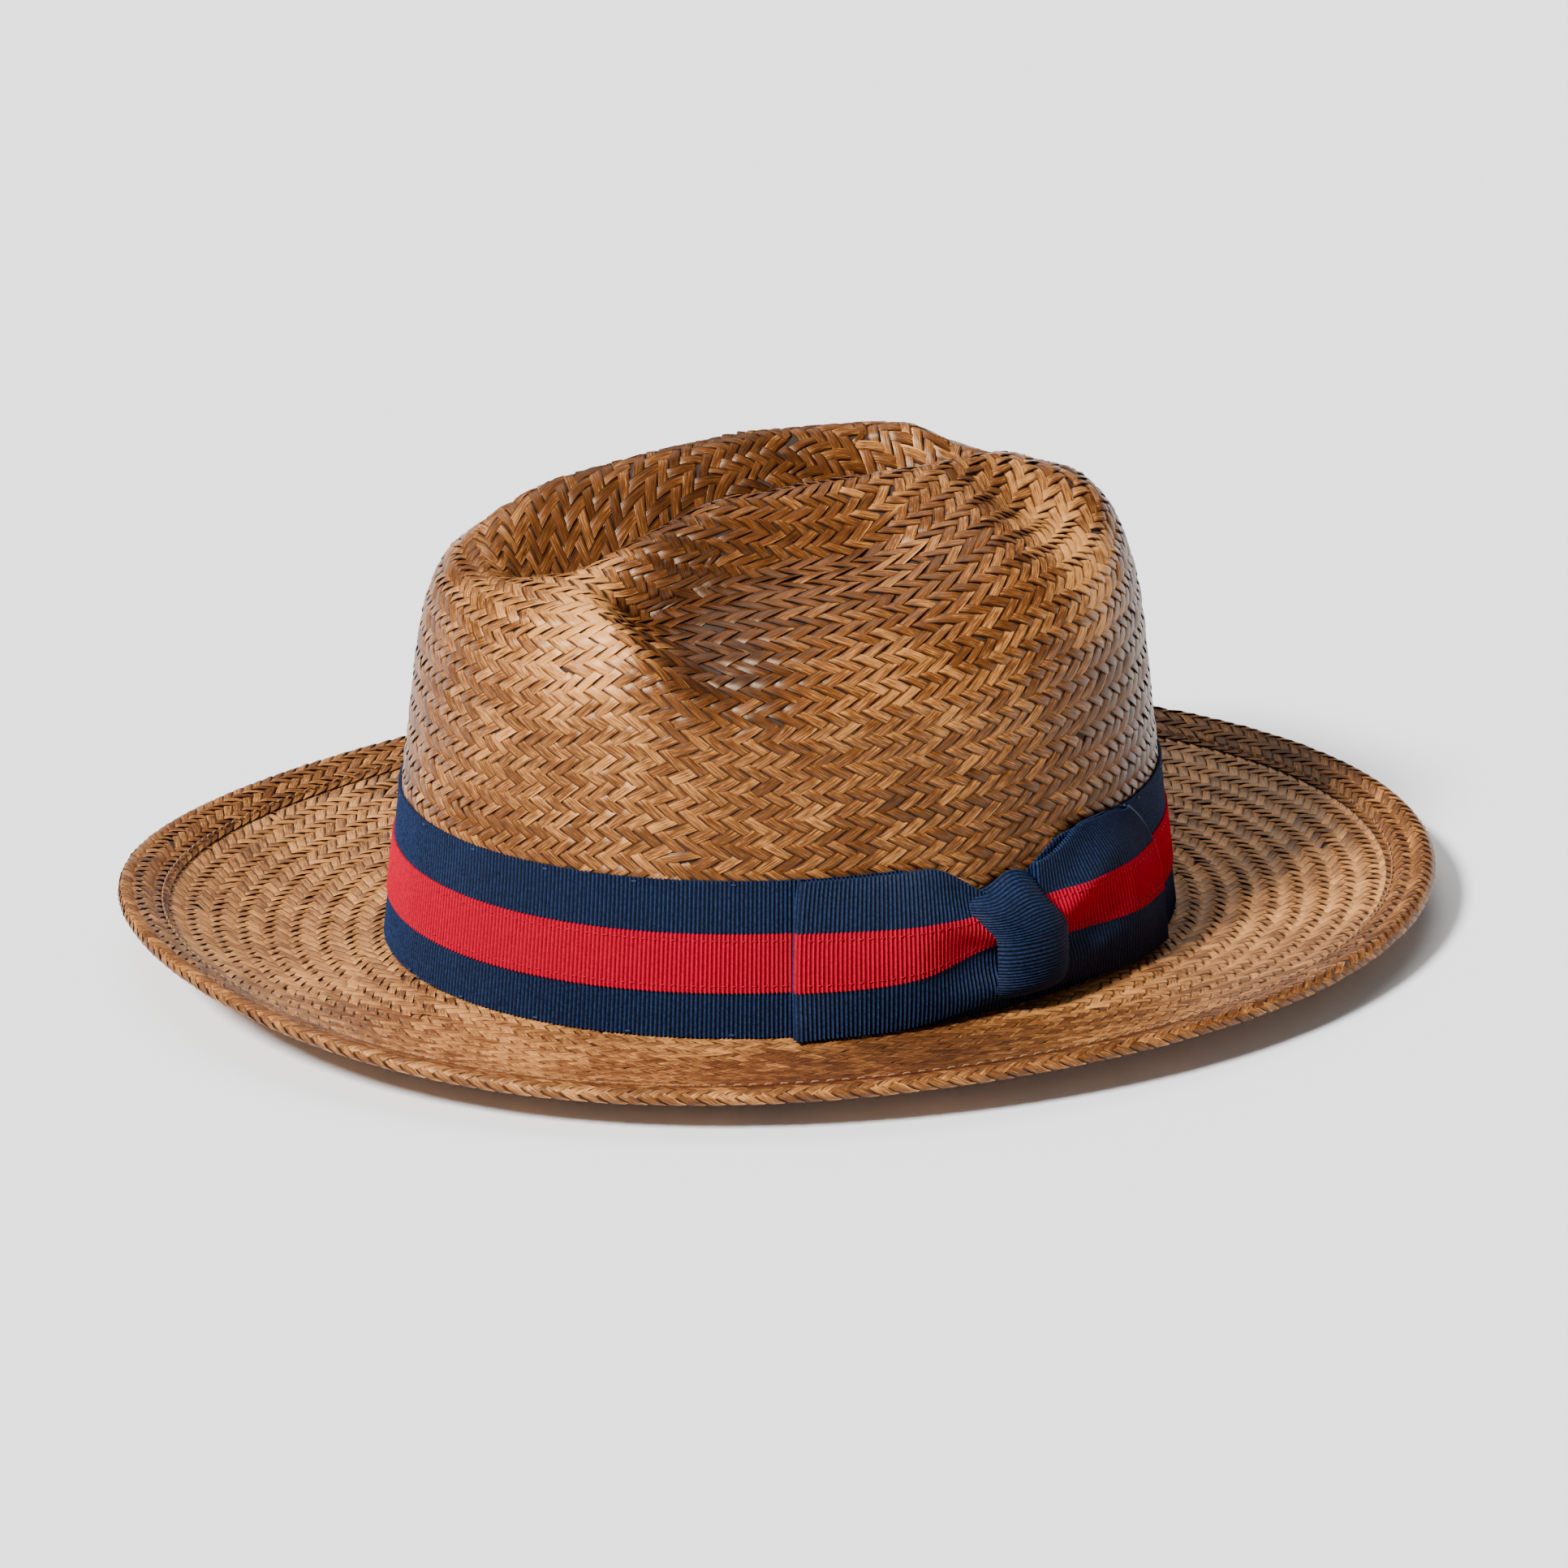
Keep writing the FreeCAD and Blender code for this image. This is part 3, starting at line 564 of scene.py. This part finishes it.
# Painted shade: the weave's core is near-black, standing for the shade seen in the gaps between floats.
straw_core = plain("straw_core", (0.016, 0.006, 0.002), (0.030, 0.012, 0.004), 0.9)
navy = cloth("navy_grosgrain", (0.0032, 0.0080, 0.027), (0.0140, 0.0320, 0.096), 0.6, 0.0,
             valley=0.03, gloss=0.12)
red = cloth("red_grosgrain", (0.34, 0.0001, 0.015), (0.50, 0.0001, 0.026), 0.66, 0.0,
            valley=0.42, gloss=0.03)
navy_thread = cloth("navy_thread", (0.004, 0.012, 0.036), (0.010, 0.026, 0.070), 0.6, 0.2)
red_thread = cloth("red_thread", (0.16, 0.0005, 0.005), (0.28, 0.001, 0.010), 0.6, 0.0)
straw_thread = cloth("straw_thread", (0.16, 0.075, 0.028), (0.28, 0.145, 0.062), 0.6, 0.2)
sweat_cloth = cloth("sweatband_cloth", (0.035, 0.022, 0.014), (0.065, 0.042, 0.028), 0.75, 0.3, 900.0)
steel = plain("wire_steel", (0.35, 0.35, 0.35), (0.5, 0.5, 0.5), 0.35, 1.0)
reed_plastic = plain("reed_plastic", (0.03, 0.025, 0.02), (0.06, 0.05, 0.04), 0.5)

# ---------------------------------------------------------------- crown and brim

CROWN_ROW = 3.5
CROWN_STRAND = 5.0
BRIM_ROW = 3.4
BRIM_STRAND = 4.35
CLIMB = np.concatenate([np.linspace(0, 0.4, 90, endpoint=False), np.linspace(0.4, 0.995, 420)])
crown = Surface(grid_of(crown_shape, 721, CLIMB))


def inset(surface, depth):
    return surface.points - surface.normals * depth


def woven(name, floats, mat, nodes=()):
    return finish_piece(make_object(name, *floats, smooth_angle=42), mat, nodes)


# The side's floats start this far below the ribbon's upper edge, out of sight.
HIDDEN_BY_BAND = 14.0
wall_heights = crown.points[180, :120, 2]
wall_shares = np.linspace(0, 1, crown.points.shape[1])[:120]
FIRST_SHARE = float(np.interp(BAND_TOP - HIDDEN_BY_BAND, wall_heights, wall_shares))


def above_band(angle, spot):
    """Floats that show above the ribbon, or above its dip at the knot."""
    degrees = np.degrees(angle % TAU)
    at_knot = (degrees > 93) & (degrees < 121)
    return (spot[:, 2] > BAND_TOP - 1.6) | (at_knot & (spot[:, 2] > BAND_TOP - 13.0))


def crown_painted_light(spot):
    """Painted shade in the side creases, on the centre dent's far wall and low on the back, and painted
    highlights on the front ridge and the back corner.
    """
    x, y, z = spot[..., 0], spot[..., 1], spot[..., 2]
    high = smooth((z - 80) / 16)
    crease = 2.3 * bell(y, -38, 20) * smooth((x - 16) / 14) + 1.1 * bell(y, 0, 30) * bell(x, 42, 18)
    dent = 1.5 * smooth((-x + 4) / 12) * smooth((46 + x) / 8) * bell(y, -8, 46)
    # Painted highlights on the front ridge and on the back corner.
    ridge = 3.4 * bell(y, -64, 12) * bell(x, 40, 24) + 3.4 * bell(y, 66, 12) * bell(x, 36, 19)
    # Painted shade low on the back of the crown.
    back = 0.9 * smooth((y - 62) / 22) * smooth((108 - z) / 10)
    return high * (ridge - crease - dent) - back


CROWN_SPLIT = 0.56
side_weave = weave(crown, FIRST_SHARE, CROWN_SPLIT, CROWN_ROW, CROWN_STRAND, 11, keep=above_band,
                   painted_light=crown_painted_light)
top_weave = weave(crown, CROWN_SPLIT, 0.965, CROWN_ROW, CROWN_STRAND, 11, painted_light=crown_painted_light)
woven("crown_side_weave", side_weave, straw_crown, ("crown",))
woven("crown_top_weave", top_weave, straw_crown)

crown_inside = Surface(inset(crown, WALL), flip=True)
inner_weave = weave(crown_inside, 0.14, 0.96, CROWN_ROW, CROWN_STRAND, 11, plain=True, lift=0.8)
woven("crown_inner_weave", inner_weave, straw_crown)


class TopPatch:
    """Square patch over the crown's middle, where the rings of the weave end."""

    def __init__(self, size, off, flip=False):
        self.length = size
        self.off = off
        self.flip = flip

    def girth_at(self, share):
        return np.full(np.shape(share), self.length)

    def point(self, x, y):
        wide = np.hypot(x / CROWN_B, y / CROWN_A) / closing(CROWN_H)
        return crown_shape(np.arctan2(x * CROWN_A, -y * CROWN_B), 1 - np.arcsin(wide) * 2 / pi)

    def at(self, angle, share):
        x = (angle / TAU - 0.5) * self.length
        y = (share - 0.5) * self.length
        place = self.point(x, y)
        normal = np.cross(self.point(x + 0.5, y) - place, self.point(x, y + 0.5) - place)
        normal /= np.linalg.norm(normal, axis=-1, keepdims=True)
        return place + normal * self.off, -normal if self.flip else normal


def near_middle(angle, spot):
    return np.hypot(spot[:, 0] / 9.0, spot[:, 1] / 11.5) < 1


PATCH = 30.0
patch_out = TopPatch(PATCH, 0.25)
patch_in = TopPatch(PATCH, -WALL - 0.2, flip=True)
tip_weave = weave(patch_out, 0.0, 1.0, CROWN_ROW, CROWN_STRAND, 41, keep=near_middle, painted_light=crown_painted_light)
tip_inner = weave(patch_in, 0.0, 1.0, CROWN_ROW, CROWN_STRAND, 43, plain=True, lift=0.8, keep=near_middle)
woven("crown_tip_weave", tip_weave, straw_crown)
woven("crown_tip_inner_weave", tip_inner, straw_crown)
shell = add_shell(inset(crown, 0.25)[::3, ::4], inset(crown, WALL - 0.2)[::3, ::4])
finish_piece(make_object("crown_core", *shell), straw_core)

OUT = np.linspace(0, 1, 160)
brim_top = Surface(grid_of(lambda a, q: brim_shape(a, q * 0.985, SHEET / 2 - 0.25), 721, OUT), flip=True)
brim_low = Surface(grid_of(lambda a, q: brim_shape(a, q * 0.965, -SHEET / 2 + 0.72), 721, OUT))


def brim_painted_shade(spot):
    """Painted shade over the brim on the wearer's left, stopping short of the rolled edge."""
    x, y = spot[..., 0], spot[..., 1]
    inside = smooth((0.972 - np.hypot(x / EDGE_B, y / EDGE_A)) / 0.014)
    return -2.3 * smooth((x - 82) / 16) * bell(y, -4, 66) * inside


BRIM_SPLIT = 0.5
brim_weave = {"lift": 0.8, "jitter": 0.6, "painted_light": brim_painted_shade}
middle_weave = weave(brim_top, 0.0, BRIM_SPLIT, BRIM_ROW, BRIM_STRAND, 21, **brim_weave)
outer_weave = weave(brim_top, BRIM_SPLIT, 0.89, BRIM_ROW, BRIM_STRAND, 21, **brim_weave)
under_weave = weave(brim_low, 0.01, 0.985, BRIM_ROW, BRIM_STRAND, 23, plain=True, lift=0.8)
woven("brim_middle_weave", middle_weave, straw_brim, ("brim",))
woven("brim_outer_weave", outer_weave, straw_brim)
woven("brim_under_weave", under_weave, straw_brim)
core_top = grid_of(lambda a, q: brim_shape(a, q * 0.965, SHEET / 2 - 0.5), 361, OUT[::3])
core_low = grid_of(lambda a, q: brim_shape(a, q * 0.965, -SHEET / 2 + 0.8), 361, OUT[::3])
finish_piece(make_object("brim_core", *add_shell(core_top, core_low)), straw_core)


def reach_of(angle):
    inner, outer = brim_edges(angle)
    return np.linalg.norm(outer - inner, axis=-1)


def hem_shape(angle, share, thick):
    """Turned-over edge: share runs from the hem's inner edge over the top and round the wire."""
    reach = reach_of(angle)
    flat = HEM_WIDTH - EDGE_ROLL
    total = flat + 2.6 * EDGE_ROLL
    run = share * total
    start = 1.0 - HEM_WIDTH / reach
    out = start + np.minimum(run, flat) / reach
    on_top = brim_shape(angle, out, SHEET / 2 + 0.1 + thick * (0.2 + 0.8 * smooth(run / 4)))
    middle = brim_edges(angle)[1]
    middle[..., 2] = edge_height(angle)
    way = oval(angle, EDGE_A, EDGE_B, 0.0) - oval(angle, CROWN_A, CROWN_B, 0.0)
    way /= np.linalg.norm(way, axis=-1, keepdims=True)
    turn = pi / 2 + 0.15 - np.maximum((run - flat) / EDGE_ROLL, 0) * 1.15
    radius = WIRE + 0.1 + thick
    ray = way * np.cos(turn)[..., None] + np.array([0, 0, 1.0]) * np.sin(turn)[..., None]
    rolled = middle + ray * radius
    blend = smooth((run - flat + 1.4) / 2.8)[..., None]
    return on_top * (1 - blend) + rolled * blend


HEM_RUN = np.linspace(0, 1, 90)
hem = Surface(grid_of(lambda a, q: hem_shape(a, q, HEM - 0.25), 1081, HEM_RUN), flip=True)
hem_weave = weave(hem, 0.0, 1.0, 3.3, 4.5, 31, **brim_weave)
hem_core = add_shell(grid_of(lambda a, q: hem_shape(a, q, HEM - 0.45), 541, HEM_RUN[::3]),
                     grid_of(lambda a, q: hem_shape(a, q, 0.1), 541, HEM_RUN[::3]))
woven("brim_hem_weave", hem_weave, straw_hem, ("brim_hem",))
finish_piece(make_object("brim_hem_core", *hem_core), straw_core)

# ---------------------------------------------------------------- ribbons

RIB = 1.15
PER_RIB = 6


def ribbon(name, centre, length, rows, thick, mat, nodes, closed=False, rib=0.20, edge=0.14):
    """Ribbed ribbon: centre(s, t) gives its middle, s along 0..1 and t across 0..1."""
    cols = int(length / RIB) * PER_RIB
    s = np.linspace(0, 1, cols + 1)
    t = np.linspace(0, 1, rows)
    wave = np.cos(np.arange(cols + 1) * TAU / PER_RIB)
    ss, tt = np.meshgrid(s, t, indexing="ij")
    points = centre(ss, tt)
    across = np.gradient(points, axis=1)
    across /= np.linalg.norm(across, axis=-1, keepdims=True)
    run = np.gradient(points, axis=0)
    if closed:
        run[0] = run[-1] = points[1] - points[-2]
    normal = np.cross(run, across)
    normal /= np.linalg.norm(normal, axis=-1, keepdims=True) + 1e-12
    points[:, 0] -= across[:, 0] * edge * wave[:, None]
    points[:, -1] += across[:, -1] * edge * wave[:, None]
    bulge = (rib * wave)[:, None, None]
    front = points + normal * (thick / 2 + bulge)
    back = points - normal * (thick / 2 + bulge * 0.8)
    if closed:
        front, back = front[:-1], back[:-1]
    count = len(front)
    ring = np.concatenate([front, back[:, ::-1]], 1)
    size = ring.shape[1]
    i = np.arange(count if closed else count - 1)[:, None]
    k = np.arange(size)[None, :]
    n = (i + 1) % count
    m = (k + 1) % size
    faces = np.stack([i * size + k, n * size + k, n * size + m, i * size + m], -1).reshape(-1, 4).tolist()
    if not closed:
        faces.append(list(range(size)))
        faces.append([(count - 1) * size + q for q in range(size - 1, -1, -1)])
    # Painted shade mask: 1 in each groove between ribs, darkened by the cloth's valley setting.
    groove = np.repeat(((1 - wave[:count]) / 2)[:, None], size, 1)
    item = make_object(name, ring.reshape(-1, 3), faces, {"rib": groove.ravel()}, smooth_angle=50)
    return finish_piece(item, mat, nodes)


GIRTH = pi * (3 * (CROWN_A + CROWN_B) - math.sqrt((3 * CROWN_A + CROWN_B) * (CROWN_A + 3 * CROWN_B)))
even_angle = np.linspace(0, TAU, 4000)
even_step = distances(oval(even_angle, CROWN_A, CROWN_B, 0.0))


def angle_at(share):
    return np.interp(share * even_step[-1], even_step, even_angle)


def band_centre(low, high, off, dip=0.0):
    """Band round the crown; dip lowers its upper edge where the knot pulls it together."""
    def centre(s, t):
        angle = angle_at(s)
        degrees = np.degrees(angle)
        pulled = dip * smooth((degrees - 92) / 11) * smooth((122 - degrees) / 12)
        z = low + (high - low - pulled) * t
        return band_shape(angle, z, off + 0.35 * smooth((z - RIBBON + 7) / 6))
    return centre


band = ribbon("band_ribbon_cloth", band_centre(0.0, RIBBON, 0.5, 9.0), GIRTH, 8, 0.5, navy,
              ("band_ribbon",), closed=True)
S0 = STRIPE_LOW - BASE
S1 = STRIPE_TOP - BASE
stripe = ribbon("band_stripe_cloth", band_centre(S0, S1, 1.05), GIRTH, 5, 0.4, red,
                ("band_stripe",), closed=True)

# The knot's edges and the loops' folds, in degrees round the crown from the front.
KNOT_0 = 105.6
KNOT_1 = 117.6
FOLD_0 = 76.5
FOLD_1 = 144.0
PLY = 1.25 + 0.75
FOLD_R = 1.3


def loop_path(fold, knot, side):
    """Plan path of one loop: under ply out to the fold, round it and back over to the knot."""
    per_mm = 1.0 / 1.75
    tip = fold - side * FOLD_R * per_mm
    q = np.linspace(0, 1, 60)
    under_angle = knot + (tip - knot) * q
    turn = np.linspace(0, pi, 24)[1:-1]
    bend_angle = tip + side * FOLD_R * per_mm * np.sin(turn)
    over_angle = tip + (knot - tip) * q
    angle = np.concatenate([under_angle, bend_angle, over_angle])
    off = np.concatenate([0 * q + PLY, PLY + FOLD_R * (1 - np.cos(turn)), 0 * q + PLY + 2 * FOLD_R])
    gather = np.concatenate([-q[::-1], 0 * turn, q])
    return angle, off, gather


class Loop:
    def __init__(self, fold, knot, side, low_at, high_at, lift_at, slant):
        self.slant = slant
        self.angle, self.off, self.gather = loop_path(fold, knot, side)
        self.low_at, self.high_at, self.lift_at = low_at, high_at, lift_at
        line = band_shape(np.radians(self.angle), 20.0 + 0 * self.angle, self.off)
        step = distances(line)
        self.length = step[-1]
        self.share = step / step[-1]
        self.over = float(self.share[-60])

    def centre(self, s, z_at=None, rise=0.0):
        def make(ss, tt):
            run = s[0] + (s[1] - s[0]) * ss
            angle = np.interp(run, self.share, self.angle)
            off = np.interp(run, self.share, self.off)
            q = np.interp(run, self.share, self.gather)
            over = np.clip(q, 0, 1)
            low, high = self.low_at(over), self.high_at(over)
            under = q < 0
            low = np.where(under, 1.0, low)
            high = np.where(under, self.high_at(np.abs(q)) - 0.8, high)
            if z_at is None:
                t = tt
            else:
                a, b = z_at(over)
                t = (a + (b - a) * tt - low) / (high - low)
            z = low + (high - low) * t
            lift = np.where(under, 0.0, self.lift_at(over, t))
            lean = self.slant * np.clip((z - 12) / 33, 0, 1) ** 2.6 * (1 - np.abs(q))
            return band_shape(np.radians(angle + lean), z, off + lift + rise)
        return make


def front_low(q):
    return 0.8 + 3.6 * smooth((q - 0.35) / 0.65)


def front_high(q):
    return RIBBON + 0.6 - 11.0 * smooth((q - 0.58) / 0.42)


def front_lift(q, t):
    """Soft belly, then gathers that tuck under the knot."""
    belly = 2.6 * smooth(q / 0.55) * np.abs(np.sin(pi * np.clip(t, 0, 1))) ** 0.7
    ridge = bell(t, 0.67, 0.14) + 0.7 * bell(t, 0.12, 0.13)
    tuck = smooth((q - 0.5) / 0.33)
    corner = 1.8 * (1 - np.clip(q, 0, 1)) ** 8 * smooth(1 - 3 * t)
    return belly * (1 - tuck) + tuck * (2.4 * ridge - 1.0) + corner


def rear_low(q):
    return 1.0 + 3.0 * smooth((q - 0.3) / 0.7)


def rear_high(q):
    return RIBBON + 0.8 + 1.6 * smooth(4 * q) - 6.5 * smooth((q - 0.45) / 0.55)


def rear_lift(q, t):
    """The same for the rear loop, whose gathers climb and fan out away from the knot."""
    belly = 2.0 * smooth(q / 0.4) * np.abs(np.sin(pi * np.clip(t, 0, 1))) ** 0.7
    ridge = bell(t, 0.50 + 0.45 * (1 - q), 0.13) + 0.8 * bell(t, 0.12 + 0.25 * (1 - q), 0.12)
    tuck = smooth((q - 0.2) / 0.55)
    return belly * (1 - tuck) + tuck * (2.3 * ridge - 1.0)


front_loop = Loop(FOLD_0, KNOT_0 + 3, -1, front_low, front_high, front_lift, 1.0)
rear_loop = Loop(FOLD_1 + 1, KNOT_1 - 3, 1, rear_low, rear_high, rear_lift, -11.0)
loops = (
    ("front", front_loop, lambda q: (13.0 + 7.6 * q ** 2.4, 28.6 - 1.0 * q ** 2)),
    ("rear", rear_loop, lambda q: (15.0 + 1.8 * q, 29.8 - 1.4 * q)),
)
for side_name, loop, red_at in loops:
    cloth_piece = ribbon("bow_%s_loop_cloth" % side_name, loop.centre((0, 1)), loop.length, 26, 0.5, navy,
                         ("bow_%s_loop" % side_name,))
    red_centre = loop.centre((loop.over - 0.02, 1), red_at, 0.42)
    red_length = loop.length * (1 - loop.over + 0.02)
    red_piece = ribbon("bow_%s_stripe_cloth" % side_name, red_centre, red_length, 12, 0.3, red,
                       ("bow_%s_stripe" % side_name,))

KNOT_Z = np.array([0.2, 0.6, 2.0, 5.0, 10.0, 16.0, 23.0, 29.0, 34.0, 37.5, 39.5, 40.5])
KNOT_OFF = np.array([1.6, 3.2, 5.8, 7.6, 8.4, 8.8, 8.8, 8.3, 7.2, 5.4, 3.3, 1.6])
knot_step = distances(np.stack([KNOT_Z, KNOT_OFF], -1))
knot_share = knot_step / knot_step[-1]
fine = np.linspace(0, 1, 200)
kernel = np.hanning(21) / np.hanning(21).sum()


def eased(values):
    raw = np.interp(fine, knot_share, values)
    padded = np.concatenate([2 * raw[0] - raw[10:0:-1], raw, 2 * raw[-1] - raw[-2:-12:-1]])
    return np.convolve(padded, kernel, "valid")


knot_z = eased(KNOT_Z)
knot_off = eased(KNOT_OFF)


def knot_centre(s, t):
    z = np.interp(s, fine, knot_z)
    off = np.interp(s, fine, knot_off)
    skew = 3.6 * smooth((z - 20) / 18)
    angle = KNOT_0 - skew + (KNOT_1 - KNOT_0) * (1 - t)
    round_off = (1.6 * np.sin(pi * t) - 1.6 * np.abs(2 * t - 1) ** 5) * np.minimum(off / 6, 1)
    fold = 0.35 * np.sin(TAU * (1.5 * t + 0.1)) * smooth((z - 22) / 12)
    reach = 0.62 + 0.17 * bell(t, 0.3, 0.28)
    z = np.where(z > 20, 20 + (z - 20) * reach, z)
    z = z + 3.4 * smooth((16 - z) / 16)
    return band_shape(np.radians(angle), z, off + round_off + fold)


knot_length = float(knot_step[-1])
knot = ribbon("bow_knot_cloth", knot_centre, knot_length, 20, 0.6, navy,
              ("bow_knot",), rib=0.13)

# ---------------------------------------------------------------- stitches


def stitches(name, spot, starts, share, radius, mat, nodes):
    """Short soft thread bars that dip at both ends; spot(place, lift) is the thread's line."""
    ring = 6
    bend = np.linspace(0, 1, 6)
    turn = np.linspace(0, TAU, ring, endpoint=False)
    size = radius * np.array([0.55, 0.95, 1, 1, 0.95, 0.55])
    dip = -radius * 1.6 * (2 * bend - 1) ** 6
    verts, faces = [], []
    for begin in starts:
        line = spot(begin + share * bend, dip)
        side = spot(begin + share * bend, dip + 1.0) - line
        along = np.gradient(line, axis=0)
        along /= np.linalg.norm(along, axis=-1, keepdims=True)
        third = np.cross(along, side)
        third /= np.linalg.norm(third, axis=-1, keepdims=True)
        side = np.cross(third, along)
        circle = side[:, None] * np.cos(turn)[None, :, None] + third[:, None] * np.sin(turn)[None, :, None]
        start = len(verts) * 6 * ring
        verts.append((line[:, None] + size[:, None, None] * circle).reshape(-1, 3))
        for i in range(5):
            low = start + i * ring
            for k in range(ring):
                m = (k + 1) % ring
                faces.append([low + k, low + m, low + ring + m, low + ring + k])
        faces.append([start + k for k in range(ring - 1, -1, -1)])
        faces.append([start + 5 * ring + k for k in range(ring)])
    item = make_object(name, np.concatenate(verts), faces)
    return finish_piece(item, mat, nodes)


THREAD = 0.2
STITCH_INSET = 1.8


def band_line(z):
    def line(angle, lift):
        return band_shape(angle, z + 0 * angle, 1.28 + lift)
    return line


BAND_STITCHES = 230
HEM_STITCHES = 260
band_starts = angle_at(np.arange(BAND_STITCHES) / BAND_STITCHES)
for label, level in (("lower", S0 + STITCH_INSET), ("upper", S1 - STITCH_INSET)):
    stitches("stripe_stitching_%s_thread" % label, band_line(level), band_starts, 0.016, THREAD,
             red_thread, ("stripe_stitching_%s" % label,))

LOOP_STITCH = 2.63


def loop_line(loop, red_at, across):
    """Thread line along a loop's red ribbon, across is 0 at its lower edge and 1 at its upper edge."""
    def line(share, lift):
        return loop.centre((loop.over, 1), red_at, 0.66 + lift)(share, across + 0 * share)
    return line


for side_name, loop, red_at in loops:
    pitch = LOOP_STITCH / (loop.length * (1 - loop.over))
    for label, across in (("lower", 0.12), ("upper", 0.88)):
        stitches("bow_%s_stitching_%s_thread" % (side_name, label), loop_line(loop, red_at, across),
                 np.arange(0.03, 0.9, pitch), pitch * 0.6, THREAD, red_thread, ())


def hem_line(angle, lift):
    spot = 1.0 - (HEM_WIDTH - 1.6) / reach_of(angle)
    return brim_shape(angle, spot, SHEET / 2 + 0.1 + HEM + 0.15 + lift)


hem_starts = np.linspace(0, TAU, HEM_STITCHES, endpoint=False)
stitches("brim_hem_stitching_thread", hem_line, hem_starts, 0.014, 0.24,
         straw_thread, ("brim_hem_stitching",))

# ---------------------------------------------------------------- inside

SWEAT_OFF = -WALL - 0.3 - 0.5


def sweat_centre(s, t):
    return band_shape(angle_at(s), SWEAT_LOW - BASE + (SWEAT_TOP - SWEAT_LOW) * t, SWEAT_OFF + 0 * t)


SWEAT_LENGTH = GIRTH * 0.97
sweat = ribbon("sweatband_cloth_band", sweat_centre, SWEAT_LENGTH, 6, 0.8, sweat_cloth,
               ("sweatband",), closed=True, rib=0.05, edge=0.05)

kept_materials = {
    "sweatband_reed": reed_plastic,
    "sweatband_stitching": navy_thread,
    "sweatband_seam_tape": sweat_cloth,
    "sweatband_seam_stitches": navy_thread,
    "brim_wire": steel,
    "brim_wire_sleeve": steel,
    "bow_tack_stitches": navy_thread,
    "band_tack_stitches": navy_thread,
}
for name, mat in kept_materials.items():
    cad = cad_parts[name]
    cad.data.materials.clear()
    cad.data.materials.append(mat)

# ---------------------------------------------------------------- floor, light and camera

FLOOR_SIDES = 96
FLAT_FLOOR = 8.0
sweep = [2.0, 8.0, 10.0, 12.0, 14.0, 16.0, 18.0, 20.0]
floor_points = []
for r in sweep:
    climb = 2.2 * (max(r - FLAT_FLOOR, 0) / 12) ** 2
    for k in range(FLOOR_SIDES):
        a = TAU * k / FLOOR_SIDES
        floor_points.append((r * math.cos(a), r * math.sin(a), climb))
floor_faces = [tuple(range(FLOOR_SIDES))]
for i in range(len(sweep) - 1):
    for k in range(FLOOR_SIDES):
        near, far, n = i * FLOOR_SIDES, (i + 1) * FLOOR_SIDES, (k + 1) % FLOOR_SIDES
        floor_faces.append((near + k, far + k, far + n, near + n))
floor_mesh = bpy.data.meshes.new("floor")
floor_mesh.from_pydata(floor_points, [], floor_faces)
floor_mesh.polygons.foreach_set("use_smooth", [True] * len(floor_mesh.polygons))
floor = bpy.data.objects.new("floor", floor_mesh)
bpy.context.scene.collection.objects.link(floor)
floor_mat, _, _, floor_shader = material("floor_paper")
floor_shader.inputs["Base Color"].default_value = (0.88, 0.88, 0.88, 1)
floor_shader.inputs["Roughness"].default_value = 0.9
floor_mesh.materials.append(floor_mat)

world = bpy.data.worlds.new("studio")
bpy.context.scene.world = world
world.use_nodes = True
world.node_tree.nodes["Background"].inputs["Color"].default_value = (1.0, 1.0, 1.0, 1)
world.node_tree.nodes["Background"].inputs["Strength"].default_value = 0.20


def direction(a, e):
    """Unit vector towards azimuth a (0 at the front, turning to the wearer's left) and elevation e."""
    return Vector((math.sin(a) * math.cos(e), -math.cos(a) * math.cos(e), math.sin(e)))


def sun(name, azimuth, elevation, softness, strength):
    """Sun lamp placed by azimuth and elevation; softness is its width, all three in degrees."""
    data = bpy.data.lights.new(name, "SUN")
    data.angle = math.radians(softness)
    data.energy = strength
    item = bpy.data.objects.new(name, data)
    item.location = direction(math.radians(azimuth), math.radians(elevation)) * 3.0
    item.rotation_euler = (-item.location).to_track_quat("-Z", "Y").to_euler()
    bpy.context.scene.collection.objects.link(item)
    return item


sun("key", 26, 43, 12, 9.6)
sun("back", 270, 66, 50, 1.5)

IMAGE = 1932
PIXELS_PER_MM = 4.694
SENSOR = 36.0
AIM = Vector((0, 0, (BASE + 50.0) * MM))
distance = 2.5
back = direction(math.radians(71.8), math.radians(20.5))
camera_data = bpy.data.cameras.new("camera")
camera_data.sensor_width = SENSOR
camera_data.lens = PIXELS_PER_MM * distance * 1000 / IMAGE * SENSOR
camera_data.shift_x = 3.2 / IMAGE
camera_data.shift_y = -63.0 / IMAGE
camera_data.clip_end = 50
camera = bpy.data.objects.new("camera", camera_data)
camera.location = AIM + back * distance
camera.rotation_euler = back.to_track_quat("Z", "Y").to_euler()
bpy.context.scene.collection.objects.link(camera)
bpy.context.scene.camera = camera
